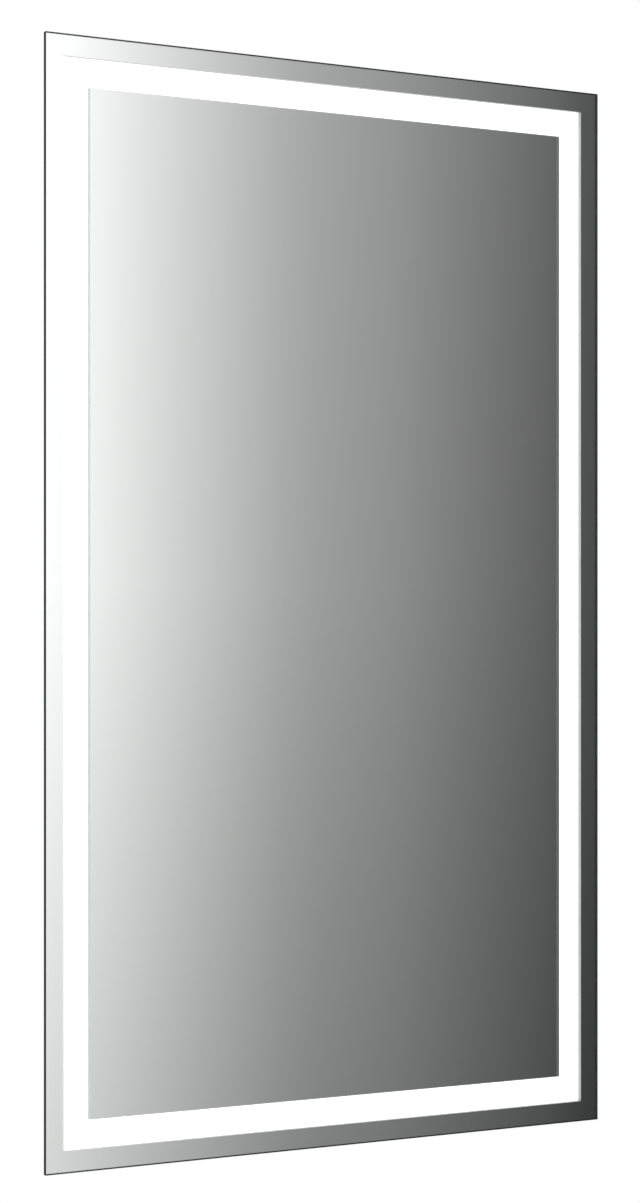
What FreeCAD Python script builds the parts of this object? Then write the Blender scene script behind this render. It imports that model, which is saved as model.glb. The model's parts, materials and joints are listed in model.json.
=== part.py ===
"""Lighted bathroom mirror for a wall: a frameless mirror pane with a clear window band, lit from behind.

Row frame, in millimetres: the wall is the plane Y = 0 and the mirror looks along -Y. +X is to the
right for someone who faces the mirror, and +Z is up. The origin is on the wall, in the middle of the
wall rail's screw line.

The pane carries its silver and paint on its back. They leave a band of bare glass all round, and a
mitred aluminium frame bonded behind it holds the opal diffuser and the light strips of that band. A
sheet panel closes the back. It carries the driver, the wiring box, the bumpers and the hook rail, which
drops over the wall rail.
"""

import FreeCAD, Part

import math
import os

Vector = FreeCAD.Vector

# ---------------------------------------------------------------- driving dimensions, in millimetres

# Mirror pane
glass_width = 600.0
glass_height = 1000.0
glass_thickness = 4.0
arris = 0.5  # ground-off edge, both legs
border_width = 19.0  # mirror between the pane's edge and the lit band
band_width = 26.0  # the lit band
silver_thickness = 0.1
paint_thickness = 0.1

# Frame profile
profile_wall = 1.5
frame_depth = 28.0
outer_flange = 6.5  # bonding flange outside the band
inner_flange = 10.0  # bonding flange inside the band
tape_thickness = 1.0
tape_margin = 0.5  # bare flange on each side of the tape
diffuser_recess = 4.0  # from the frame's front down to the diffuser
diffuser_thickness = 2.0
diffuser_clearance = 0.2
ledge_width = 2.5
ledge_thickness = 1.2
light_gap = 11.8  # from the ledges down to the floor that carries the light strips
back_flange = 13.0

# Corner keys and their countersunk screws
key_leg = 70.0  # measured from the pane's edge
key_thickness = 3.5
key_clearance = 0.2
key_screw_radius = 1.5
key_screw_head_radius = 2.7
key_screw_head_height = 1.3
key_screw_length = 4.6
key_screw_spacing = 24.0
key_screw_end = 10.0  # from the key's end to its outer screw

# Light strips
strip_width = 10.0
strip_thickness = 0.3
strip_end_gap = 3.0  # from a horizontal strip's end to the frame's wall
strip_corner_gap = 6.0  # from a vertical strip's end to the horizontal strip
chip_length = 3.5
chip_width = 2.8
chip_height = 0.7
chip_pitch = 16.67
chip_end_gap = 6.0
jumper_radius = 0.5
jumper_spacing = 5.0
jumper_lap = 2.0

# Back panel
panel_thickness = 1.0
panel_margin = 0.5  # set back from the frame's outer face
vent_width = 3.0
vent_length = 24.0
vent_pitch = 9.0
vent_count = 12
vent_low_rise = 110.0  # lower vents, from the pane's bottom edge
vent_gap = 16.0  # upper vents, above the driver

# Domed heads of screws and rivets, as shares of the head's own height and radius
head_rim = 0.35  # upright rim
head_crown = 0.7  # flat crown

# Pan-head screws for sheet metal
screw_radius = 1.45
screw_clearance = 0.2  # in the sheet that the screw passes through
thread_clearance = 0.05  # in what the screw cuts its thread into
screw_head_radius = 3.0
screw_head_height = 1.9
screw_length = 5.5
recess_width = 0.8
recess_length = 3.2
recess_depth = 1.0
panel_screw_pitch = 180.0
panel_screw_end = 30.0  # from a corner key's end to the first panel screw

# Wall rail and hook rail, two folded strips that interlock
rail_sheet = 1.5
hook_play = 0.5  # between each pair of interlocking walls
rail_drop = 150.0  # from the pane's top edge down to the wall screws
wall_rail_length = 440.0
wall_rail_base = 25.0
wall_rail_rise = 16.0  # upstand above the wall rail's web
wall_screw_radius = 2.75
wall_screw_spacing_outer = 380.0
wall_screw_spacing_inner = 120.0
hook_rail_length = 400.0
hook_rail_base = 25.0
hook_reach = 12.0  # how far the hook drops behind the upstand
rivet_radius = 2.0
rivet_head_radius = 3.8
rivet_head_height = 1.2
rivet_tail_radius = 3.0
rivet_tail_height = 1.5
rivet_count = 5
rivet_end = 20.0
rivet_clearance = 0.1

# Bumpers that hold the bottom edge off the wall
bumper_base_radius = 12.0
bumper_face_radius = 10.0
bumper_inset = 62.0  # from the pane's edges
bumper_bore_clearance = 0.4
bumper_head_well = 3.6
bumper_floor = 2.2  # rubber under the screw's head

# Wiring box, its cover and the cable grommet
box_across = 104.0
box_tall = 64.0
box_deep = 20.0
box_wall = 1.2
box_left_of_middle = 60.0
box_below_rail = 120.0
box_rim = 4.0  # how far the panel laps inside the box's outer face
ear_length = 12.0
ear_height = 20.0
cover_thickness = 1.0
cover_lap_x = 5.0
cover_lap_z = 14.0
cover_screw_edge = 6.0
cover_screw_x = 30.0
grommet_left_of_box = 25.0
grommet_bore = 4.5
grommet_neck = 8.0
grommet_collar = 10.5
grommet_collar_thickness = 1.6
grommet_clearance = 0.1

# Terminal block and its screws
terminal_across = 34.0
terminal_tall = 22.0
terminal_high = 15.0
terminal_right_of_box = 22.0
pole_pitch = 10.0
pole_bore = 1.7
pole_height = 9.3  # wire bores, above the box's floor
terminal_screw_radius = 2.2
terminal_screw_length = 3.0
terminal_well_clearance = 0.15

# Earth screw and lug in the wiring box
earth_left_of_box = 33.0
earth_rise = 10.8  # above the box's lower wall
earth_screw_radius = 2.0
earth_screw_head_radius = 3.6
earth_screw_head_height = 2.4
earth_screw_length = 3.6
lug_radius = 4.4
lug_thickness = 0.8
lug_barrel_radius = 2.0
lug_barrel_length = 7.0
lug_shank = 6.0

# Driver for the light strips
driver_across = 150.0
driver_tall = 42.0
driver_high = 20.0
driver_wall = 1.5
driver_right_of_middle = 110.0
driver_below_rail = 130.0
driver_ear = 10.0
driver_ear_height = 18.0
driver_ear_thickness = 3.0
board_thickness = 1.6
board_margin = 3.0
board_stand = 2.0
board_post_radius = 3.0
coil_across = 26.0
coil_tall = 22.0
coil_high = 11.0
can_radius = 5.0
can_length = 16.0
can_spacing = 12.0
connector_across = 8.0
connector_tall = 16.0
connector_high = 8.0
heat_plate_thickness = 2.0
heat_plate_high = 10.0
heat_plate_length = 60.0

# Wires
arc_share = 0.45  # of the shorter run, given to each corner's arc
mains_wire_radius = 1.1
mains_wire_hole_clearance = 0.4
feed_wire_radius = 0.8
feed_wire_spacing = 6.0
feed_wire_hole_clearance = 0.3
feed_steps = 5  # equal steps from driver to strip: out, down, to the clip, and on
wire_insertion = 5.0  # how far a mains wire goes into the terminal block
neutral_rise = 3.8  # where the neutral wire leaves, above the box's lower wall
live_rise = 8.8
earth_bend = 6.0  # below the pole, where the earth wire turns
driver_entry_spacing = 8.0
clip_across = 8.0
clip_tall = 14.0
clip_cover = 1.2  # clip material beyond the wires
clip_clearance = 0.1

# ---------------------------------------------------------------- places that follow from them

# Depths, from the wall out to the face of the glass
wall_gap = 4 * rail_sheet + 3 * hook_play
panel_back_y = -wall_gap
panel_front_y = panel_back_y - panel_thickness
frame_y = panel_front_y - frame_depth
silver_back_y = frame_y - paint_thickness
glass_back_y = silver_back_y - silver_thickness
glass_front_y = glass_back_y - glass_thickness

# Heights of the pane's edges, and half its width
top_z = rail_drop
bottom_z = top_z - glass_height
half_width = glass_width / 2

# Profile, as insets from the pane's edge
outer_face = border_width - profile_wall
band_outer = border_width
band_inner = border_width + band_width
inner_face = band_inner + profile_wall
outer_flange_edge = outer_face - outer_flange
inner_flange_edge = inner_face + inner_flange
back_flange_edge = band_outer + back_flange
strip_line = (band_outer + band_inner) / 2
screw_line = band_outer + back_flange / 2

# Profile, as depths behind the frame's front
flange_back = tape_thickness + profile_wall
ledge_front = diffuser_recess + diffuser_thickness
ledge_back = ledge_front + ledge_thickness
floor_front = ledge_back + light_gap
floor_back = floor_front + profile_wall
back_flange_front = frame_depth - profile_wall

# Wiring box, grommet, terminal block, earth screw and driver
box_x = -box_left_of_middle
box_z = -box_below_rail
box_floor_y = panel_front_y - box_deep
box_inside_y = box_floor_y + box_wall
opening_half_x = box_across / 2 - box_rim
opening_half_z = box_tall / 2 - box_rim
grommet_x = box_x - grommet_left_of_box
cover_back_y = panel_back_y + cover_thickness
terminal_x = box_x + terminal_right_of_box
pole_xs = [terminal_x + i * pole_pitch for i in (-1, 0, 1)]
pole_y = box_inside_y + pole_height
terminal_low_z = box_z - terminal_tall / 2
earth_x = box_x - earth_left_of_box
box_low_z = box_z - box_tall / 2 + box_wall
earth_z = box_low_z + earth_rise
driver_x = driver_right_of_middle
driver_z = -driver_below_rail
driver_top_y = panel_front_y - driver_high
board_back_y = panel_front_y - driver_wall - board_stand
board_front_y = board_back_y - board_thickness
wire_y = board_front_y - connector_high / 2  # where wires meet the driver's connectors
floor_y = frame_y + floor_front
strip_y = floor_y - strip_thickness
feed_x = half_width - strip_line
feed_y = frame_y + (floor_back + back_flange_front) / 2


# ---------------------------------------------------------------- helpers


def block(x0, x1, y0, y1, z0, z1):
    """A box between these limits."""
    return Part.makeBox(x1 - x0, y1 - y0, z1 - z0, Vector(x0, y0, z0))


def standing_block(x, z, half_x, half_z, y0, y1):
    """A box from y0 to y1, centred on (x, z)."""
    return block(x - half_x, x + half_x, y0, y1, z - half_z, z + half_z)


def slab(inset, y0, y1):
    """The pane's outline, drawn in by inset, from y0 to y1."""
    return block(-half_width + inset, half_width - inset, y0, y1, bottom_z + inset, top_z - inset)


def ring(outer_inset, inner_inset, y0, y1):
    """A rectangular ring between two insets from the pane's edge."""
    return slab(outer_inset, y0, y1).cut(slab(inner_inset, y0, y1))


def rod(x, z, radius, y0, y1):
    """A cylinder along Y."""
    return Part.makeCylinder(radius, y1 - y0, Vector(x, y0, z), Vector(0, 1, 0))


def turned(x, y, z, outline):
    """A solid turned about an axis along Y through (x, y, z), from (radius, distance towards the wall)."""
    points = [Vector(x + r, y + d, z) for r, d in outline]
    face = Part.Face(Part.makePolygon(points + points[:1]))
    return face.revolve(Vector(x, y, z), Vector(0, 1, 0), 360)


def cut_all(shape, tools):
    """The shape less every tool."""
    tools = list(tools)
    return shape.cut(tools) if tools else shape


def spread(low, high, pitch):
    """Evenly spaced places from low to high, no further apart than pitch allows."""
    rounding_slack = 1e-6  # a length that holds a whole number of pitches gets no extra place
    gaps = max(1, math.ceil((high - low) / pitch - rounding_slack))
    return [low + (high - low) * i / gaps for i in range(gaps + 1)]


def cross_recess(x, z, head_y):
    """The cross-shaped recess of a screw whose head faces the wall at head_y."""
    long_half, short_half = recess_length / 2, recess_width / 2
    floor_y = head_y - recess_depth
    across = block(x - long_half, x + long_half, floor_y, head_y, z - short_half, z + short_half)
    upright = block(x - short_half, x + short_half, floor_y, head_y, z - long_half, z + long_half)
    return across.fuse(upright)


def domed_head(radius, height, seat=0.0):
    """The outline of a domed head that stands on seat, from its rim to its middle."""
    return [
        (radius, seat),
        (radius, seat + height * head_rim),
        (radius * head_crown, seat + height),
        (0, seat + height),
    ]


def pan_screw(x, z, seat_y, length=screw_length):
    """A pan-head screw driven from the wall side, its head seated at seat_y."""
    shank = [(0, -length), (screw_radius, -length), (screw_radius, 0)]
    screw = turned(x, seat_y, z, shank + domed_head(screw_head_radius, screw_head_height))
    return screw.cut(cross_recess(x, z, seat_y + screw_head_height))


def key_screw(x, z, grow=0.0):
    """A countersunk screw, head flush with the frame's back. grow makes the hole that it needs."""
    head = key_screw_head_radius + grow
    shank = key_screw_radius + grow
    outline = [
        (0, 0),
        (head, 0),
        (shank, -key_screw_head_height),
        (shank, -key_screw_length - grow),
        (0, -key_screw_length - grow),
    ]
    return turned(x, panel_front_y, z, outline)


def tube(points, radius):
    """A wire along these points, with an arc at each corner as large as its two runs allow."""
    points = [Vector(*p) for p in points]
    edges, start, radii = [], points[0], []
    for before, corner, after in zip(points, points[1:], points[2:]):
        run_in, run_out = corner - before, after - corner
        cut = arc_share * min(run_in.Length, run_out.Length)
        enter = corner - run_in * (cut / run_in.Length)
        leave = corner + run_out * (cut / run_out.Length)
        half_turn = run_in.getAngle(run_out) / 2
        radii.append(cut / math.tan(half_turn))
        inward = (enter - corner).normalize() + (leave - corner).normalize()
        centre = corner + inward.normalize() * (radii[-1] / math.cos(half_turn))
        middle = centre + (corner - centre).normalize() * radii[-1]
        edges.append(Part.LineSegment(start, enter).toShape())
        edges.append(Part.Arc(enter, middle, leave).toShape())
        start = leave
    edges.append(Part.LineSegment(start, points[-1]).toShape())
    path = Part.Wire(edges)
    first = points[1] - points[0]
    section = Part.Wire([Part.Circle(points[0], first, radius).toShape()])
    solid = path.makePipeShell([section], True, False)
    share = solid.Volume / (math.pi * radius**2 * path.Length)
    print(f"wire {path.Length:.0f} mm, least arc {min(radii):.1f} mm, volume share {share:.4f}")
    return solid


def save(node, *solids):
    """Writes one node's STEP file, from one solid or from a group of like solids."""
    shape = solids[0] if len(solids) == 1 else Part.makeCompound(solids)
    loose = [s for s in shape.Solids if not s.isValid() or s.Volume <= 0]
    if not shape.Solids or loose:
        raise ValueError(f"{node} has a solid that isn't valid")
    shape.exportStep(f"parts/{node}.step")


SIDES = ("top", "bottom", "left", "right")
CORNERS = {"top_left": (-1, 1), "top_right": (1, 1), "bottom_left": (-1, -1), "bottom_right": (1, -1)}


def on_side(side, along, inset):
    """(x, z) of a place on one side: along it from the pane's middle, and in from the pane's edge."""
    middle_z = (top_z + bottom_z) / 2
    return {
        "top": (along, top_z - inset),
        "bottom": (along, bottom_z + inset),
        "left": (-half_width + inset, middle_z + along),
        "right": (half_width - inset, middle_z + along),
    }[side]


def in_corner(corner, inset_x, inset_z):
    """(x, z) of a place near a corner, by its insets from the two edges of the pane that meet there."""
    side_x, side_z = CORNERS[corner]
    edge_z = top_z if side_z > 0 else bottom_z
    return side_x * (half_width - inset_x), edge_z - side_z * inset_z


def half_length(side):
    """Half the pane's length along this side."""
    return half_width if side in ("top", "bottom") else glass_height / 2


def panel_screw_places():
    """(x, z) of the screws that hold the back panel, between the corner keys."""
    places = []
    for side in SIDES:
        reach = half_length(side) - key_leg - panel_screw_end
        places += [on_side(side, a, screw_line) for a in spread(-reach, reach, panel_screw_pitch)]
    return places


def key_screw_places(corner):
    """(x, z) of one corner key's screws, two in each leg."""
    places = []
    for from_edge in (key_leg - key_screw_end, key_leg - key_screw_end - key_screw_spacing):
        places.append(in_corner(corner, from_edge, screw_line))
        places.append(in_corner(corner, screw_line, from_edge))
    return places


# ---------------------------------------------------------------- mirror pane


def make_pane():
    """Float glass with ground edges; silver and paint on its back leave the band bare."""
    glass = slab(0, glass_front_y, glass_back_y)
    save("mirror_glass", glass.makeChamfer(arris, glass.Edges))
    save("silver_border", ring(arris, band_outer, glass_back_y, silver_back_y))
    save("silver_center", slab(band_inner, glass_back_y, silver_back_y))
    save("back_paint_border", ring(arris, band_outer, silver_back_y, frame_y))
    save("back_paint_center", slab(band_inner, silver_back_y, frame_y))


# ---------------------------------------------------------------- frame


def frame_profile(side):
    """The extruded section of one side, as a face in its own plane at the pane's corner."""
    outline = [
        (outer_flange_edge, tape_thickness),
        (outer_face, tape_thickness),
        (outer_face, 0),
        (band_outer, 0),
        (band_outer, ledge_front),
        (band_outer + ledge_width, ledge_front),
        (band_outer + ledge_width, ledge_back),
        (band_outer, ledge_back),
        (band_outer, floor_front),
        (band_inner, floor_front),
        (band_inner, ledge_back),
        (band_inner - ledge_width, ledge_back),
        (band_inner - ledge_width, ledge_front),
        (band_inner, ledge_front),
        (band_inner, 0),
        (inner_face, 0),
        (inner_face, tape_thickness),
        (inner_flange_edge, tape_thickness),
        (inner_flange_edge, flange_back),
        (inner_face, flange_back),
        (inner_face, floor_back),
        (band_outer, floor_back),
        (band_outer, back_flange_front),
        (back_flange_edge, back_flange_front),
        (back_flange_edge, frame_depth),
        (outer_face, frame_depth),
        (outer_face, flange_back),
        (outer_flange_edge, flange_back),
    ]
    points = []
    for inset, depth in outline:
        x, z = on_side(side, -half_length(side), inset)
        points.append(Vector(x, frame_y + depth, z))
    return Part.Face(Part.makePolygon(points + points[:1]))


def mitre_block(side):
    """The part of the frame's space that belongs to one side, cut at 45 degrees at both ends."""
    deep = inner_flange_edge + profile_wall
    far = half_length(side)
    corners = [(-far, 0), (far, 0), (far - deep, deep), (-far + deep, deep)]
    points = []
    for along, inset in corners:
        x, z = on_side(side, along, inset)
        points.append(Vector(x, frame_y, z))
    return Part.Face(Part.makePolygon(points + points[:1])).extrude(Vector(0, frame_depth, 0))


def make_frame():
    """Four mitred lengths of one extrusion, joined at the corners by screwed keys."""
    thread = screw_radius + thread_clearance
    flange_y = frame_y + back_flange_front
    screw_holes = [rod(x, z, thread, flange_y, panel_front_y) for x, z in panel_screw_places()]
    for corner in CORNERS:
        for x, z in key_screw_places(corner):
            screw_holes.append(key_screw(x, z, key_clearance / 2))
    feed_hole = feed_wire_radius + feed_wire_hole_clearance
    feed_holes = [
        rod(feed_x, driver_z + i * feed_wire_spacing / 2, feed_hole, floor_y, frame_y + floor_back)
        for i in (-1, 1)
    ]
    for side in SIDES:
        length = 2 * half_length(side)
        run = Vector(length, 0, 0) if side in ("top", "bottom") else Vector(0, 0, length)
        rail = frame_profile(side).extrude(run).common(mitre_block(side))
        rail = cut_all(rail, screw_holes)
        if side == "right":
            rail = cut_all(rail, feed_holes)
        save(f"frame_{side}", rail.removeSplitter())


def make_corner_keys():
    """L-shaped keys that lie on the back flanges inside the frame."""
    key_back = frame_y + back_flange_front
    screws = []
    whole = ring(band_outer + key_clearance, back_flange_edge, key_back - key_thickness, key_back)
    for corner in CORNERS:
        near, far = in_corner(corner, 0, 0), in_corner(corner, key_leg, key_leg)
        (x0, x1), (z0, z1) = (sorted(pair) for pair in zip(near, far))
        key = whole.common(block(x0, x1, key_back - key_thickness, key_back, z0, z1))
        places = key_screw_places(corner)
        holes = [key_screw(x, z, key_clearance / 2) for x, z in places]
        save(f"corner_key_{corner}", cut_all(key, holes))
        screws += [key_screw(x, z).cut(cross_recess(x, z, panel_front_y)) for x, z in places]
    save("corner_key_screws", *screws)


def make_tapes():
    """Foam tape on the bonding flanges, between the frame and the painted glass."""
    tape_back = frame_y + tape_thickness
    outer = ring(outer_flange_edge + tape_margin, outer_face - tape_margin, frame_y, tape_back)
    inner = ring(inner_face + tape_margin, inner_flange_edge - tape_margin, frame_y, tape_back)
    save("bonding_tape_outer", outer)
    save("bonding_tape_inner", inner)


# ---------------------------------------------------------------- light


def make_diffuser():
    """One opal frame, which lies on the ledges behind the bare band of the glass."""
    front = frame_y + diffuser_recess
    outer, inner = band_outer + diffuser_clearance, band_inner - diffuser_clearance
    save("diffuser", ring(outer, inner, front, front + diffuser_thickness))


def strip_half_length(side):
    """Half the length of one side's light strip."""
    if side in ("top", "bottom"):
        return half_width - band_outer - strip_end_gap
    return glass_height / 2 - strip_line - strip_width / 2 - strip_corner_gap


def side_block(side, along0, along1, inset0, inset1, y0, y1):
    """A box laid along one side of the frame."""
    xa, za = on_side(side, along0, inset0)
    xb, zb = on_side(side, along1, inset1)
    return block(min(xa, xb), max(xa, xb), y0, y1, min(za, zb), max(za, zb))


def make_light_strips():
    """A strip on each side's floor with its chips facing the glass, and jumper wires at three corners."""
    half_strip = strip_width / 2
    for side in SIDES:
        reach = strip_half_length(side)
        edges = strip_line - half_strip, strip_line + half_strip
        save(f"light_strip_{side}", side_block(side, -reach, reach, *edges, strip_y, floor_y))
        chips = []
        for place in spread(-reach + chip_end_gap, reach - chip_end_gap, chip_pitch):
            chips.append(
                side_block(
                    side,
                    place - chip_width / 2,
                    place + chip_width / 2,
                    strip_line - chip_length / 2,
                    strip_line + chip_length / 2,
                    strip_y - chip_height,
                    strip_y,
                )
            )
        save(f"light_chips_{side}", *chips)
    jumpers = []
    wire_depth_y = strip_y - jumper_radius
    for corner in ("top_left", "top_right", "bottom_left"):
        x, z = in_corner(corner, strip_line, strip_line + half_strip - jumper_lap)
        length = 2 * jumper_lap + strip_corner_gap
        inwards = Vector(0, 0, -CORNERS[corner][1])
        for i in (-1, 1):
            start = Vector(x + i * jumper_spacing / 2, wire_depth_y, z)
            jumpers.append(Part.makeCylinder(jumper_radius, length, start, inwards))
    save("strip_jumpers", *jumpers)


# ---------------------------------------------------------------- back panel


def vent_places():
    """(x, z) of the vent slots' middles: a row above the driver, and a row near the bottom edge."""
    row = [(i - (vent_count - 1) / 2) * vent_pitch for i in range(vent_count)]
    high_z = driver_z + driver_tall / 2 + vent_gap + vent_length / 2
    low_z = bottom_z + vent_low_rise
    return [(driver_x + x, high_z) for x in row] + [(x, low_z) for x in row]


def vent_slot(x, z):
    """One upright slot with round ends."""
    radius = vent_width / 2
    half = vent_length / 2 - radius
    slot = block(x - radius, x + radius, panel_front_y, panel_back_y, z - half, z + half)
    ends = [rod(x, z + i * half, radius, panel_front_y, panel_back_y) for i in (-1, 1)]
    return slot.fuse(ends)


def rivet_places():
    """(x, z) of the rivets that hold the hook rail."""
    half = hook_rail_length / 2 - rivet_end
    step = 2 * half / (rivet_count - 1)
    z = hook_web_top() + hook_rail_base / 2
    return [(-half + i * step, z) for i in range(rivet_count)]


def bumper_places():
    """(x, z) of the two bumpers."""
    return [(i * (half_width - bumper_inset), bottom_z + bumper_inset) for i in (-1, 1)]


def box_screw_places():
    """(x, z) of the screws through the wiring box's ears."""
    return [(box_x + i * (box_across / 2 + ear_length / 2), box_z) for i in (-1, 1)]


def cover_screw_places():
    """(x, z) of the wiring cover's screws."""
    rise = opening_half_z + cover_lap_z - cover_screw_edge
    return [(box_x + i * cover_screw_x, box_z + j * rise) for i in (-1, 1) for j in (-1, 1)]


def driver_screw_places():
    """(x, z) of the screws through the driver's ears."""
    return [(driver_x + i * (driver_across / 2 + driver_ear / 2), driver_z) for i in (-1, 1)]


def make_back_panel():
    """The sheet that closes the back, with its vents and the opening to the wiring box."""
    passing = panel_screw_places() + box_screw_places() + driver_screw_places()
    threaded = bumper_places() + cover_screw_places()
    cuts = [vent_slot(x, z) for x, z in vent_places()]
    for radius, places in (
        (screw_radius + screw_clearance, passing),
        (screw_radius + thread_clearance, threaded),
        (rivet_radius + rivet_clearance, rivet_places()),
    ):
        cuts += [rod(x, z, radius, panel_front_y, panel_back_y) for x, z in places]
    cuts.append(standing_block(box_x, box_z, opening_half_x, opening_half_z, panel_front_y, panel_back_y))
    save("back_panel", cut_all(slab(outer_face + panel_margin, panel_front_y, panel_back_y), cuts))
    save("back_panel_screws", *[pan_screw(x, z, panel_back_y) for x, z in panel_screw_places()])


# ---------------------------------------------------------------- wall rail and hook rail


def hook_web_top():
    """Height of the hook rail's web, whose underside rests on the wall rail's upstand."""
    return wall_rail_base / 2 + wall_rail_rise + rail_sheet


def rail_section(points, length):
    """A folded strip, extruded along X from its (y, z) section."""
    corners = [Vector(-length / 2, y, z) for y, z in points]
    return Part.Face(Part.makePolygon(corners + corners[:1])).extrude(Vector(length, 0, 0))


def make_rails():
    """The rail on the wall, with its screw holes, and the rail on the panel that hooks over it."""
    base_top = wall_rail_base / 2
    upstand_top = base_top + wall_rail_rise
    upstand_back = -(2 * rail_sheet + 2 * hook_play)
    upstand_front = upstand_back - rail_sheet
    wall_rail = rail_section(
        [
            (0, -base_top),
            (0, base_top),
            (upstand_back, base_top),
            (upstand_back, upstand_top),
            (upstand_front, upstand_top),
            (upstand_front, base_top - rail_sheet),
            (-rail_sheet, base_top - rail_sheet),
            (-rail_sheet, -base_top),
        ],
        wall_rail_length,
    )
    holes = [
        rod(i * spacing / 2, 0, wall_screw_radius, -rail_sheet, 0)
        for spacing in (wall_screw_spacing_outer, wall_screw_spacing_inner)
        for i in (-1, 1)
    ]
    save("wall_rail", cut_all(wall_rail, holes))

    hook_back = -(rail_sheet + hook_play)
    hook_front = hook_back - rail_sheet
    base_back = panel_back_y + rail_sheet
    hook_rail = rail_section(
        [
            (hook_back, upstand_top - hook_reach),
            (hook_back, upstand_top + rail_sheet),
            (base_back, upstand_top + rail_sheet),
            (base_back, upstand_top + rail_sheet + hook_rail_base),
            (panel_back_y, upstand_top + rail_sheet + hook_rail_base),
            (panel_back_y, upstand_top),
            (hook_front, upstand_top),
            (hook_front, upstand_top - hook_reach),
        ],
        hook_rail_length,
    )
    hole = rivet_radius + rivet_clearance
    rivet_holes = [rod(x, z, hole, panel_back_y, base_back) for x, z in rivet_places()]
    save("hook_rail", cut_all(hook_rail, rivet_holes))
    save("hook_rail_rivets", *[rivet(x, z) for x, z in rivet_places()])


def rivet(x, z):
    """A blind rivet: domed head on the hook rail, set tail inside the panel."""
    head_seat = rail_sheet + panel_thickness
    outline = [
        (0, -rivet_tail_height),
        (rivet_tail_radius * head_crown, -rivet_tail_height),
        (rivet_tail_radius, -rivet_tail_height * head_rim),
        (rivet_tail_radius, 0),
        (rivet_radius, 0),
        (rivet_radius, head_seat),
    ]
    head = domed_head(rivet_head_radius, rivet_head_height, head_seat)
    return turned(x, panel_front_y, z, outline + head)


def make_bumpers():
    """Rubber bumpers between the panel and the wall, each held by a screw sunk in its face."""
    bore = screw_radius + bumper_bore_clearance
    screws = []
    for name, (x, z) in zip(("left", "right"), bumper_places()):
        outline = [
            (bore, 0),
            (bumper_base_radius, 0),
            (bumper_face_radius, wall_gap),
            (bumper_head_well, wall_gap),
            (bumper_head_well, bumper_floor),
            (bore, bumper_floor),
        ]
        save(f"bumper_{name}", turned(x, panel_back_y, z, outline))
        screws.append(pan_screw(x, z, panel_back_y + bumper_floor, screw_length + bumper_floor))
    save("bumper_screws", *screws)


# ---------------------------------------------------------------- wiring box


def make_wiring_box():
    """The folded box behind the panel's opening, its ears, its cover and the cable grommet."""
    half_x, half_z = box_across / 2, box_tall / 2
    shell = standing_block(box_x, box_z, half_x, half_z, box_floor_y, panel_front_y)
    inside = standing_block(
        box_x, box_z, half_x - box_wall, half_z - box_wall, box_inside_y, panel_front_y
    )
    ear_front = panel_front_y - box_wall
    ears = [
        standing_block(x, z, ear_length / 2, ear_height / 2, ear_front, panel_front_y)
        for x, z in box_screw_places()
    ]
    thread = screw_radius + thread_clearance
    holes = [rod(x, z, thread, ear_front, panel_front_y) for x, z in box_screw_places()]
    holes.append(rod(earth_x, earth_z, earth_screw_radius + thread_clearance, box_floor_y, box_inside_y))
    hole_radius = mains_wire_radius + mains_wire_hole_clearance
    for rise in (live_rise, neutral_rise):
        start = Vector(box_x + half_x - box_wall, pole_y, box_low_z + rise)
        holes.append(Part.makeCylinder(hole_radius, box_wall, start, Vector(1, 0, 0)))
    save("wiring_box", cut_all(shell.cut(inside).fuse(ears), holes).removeSplitter())
    save("wiring_box_screws", *[pan_screw(x, z, panel_back_y) for x, z in box_screw_places()])

    cover_half_x, cover_half_z = opening_half_x + cover_lap_x, opening_half_z + cover_lap_z
    cover = standing_block(box_x, box_z, cover_half_x, cover_half_z, panel_back_y, cover_back_y)
    passing = screw_radius + screw_clearance
    cuts = [rod(x, z, passing, panel_back_y, cover_back_y) for x, z in cover_screw_places()]
    cuts.append(rod(grommet_x, box_z, grommet_neck, panel_back_y, cover_back_y))
    save("wiring_cover", cut_all(cover, cuts))
    save("wiring_cover_screws", *[pan_screw(x, z, cover_back_y) for x, z in cover_screw_places()])

    collar_out = cover_thickness + grommet_collar_thickness
    neck = grommet_neck - grommet_clearance
    outline = [
        (grommet_bore, -grommet_collar_thickness),
        (grommet_collar, -grommet_collar_thickness),
        (grommet_collar, 0),
        (neck, 0),
        (neck, cover_thickness),
        (grommet_collar, cover_thickness),
        (grommet_collar, collar_out),
        (grommet_bore, collar_out),
    ]
    save("cable_grommet", turned(grommet_x, panel_back_y, box_z, outline))


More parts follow.
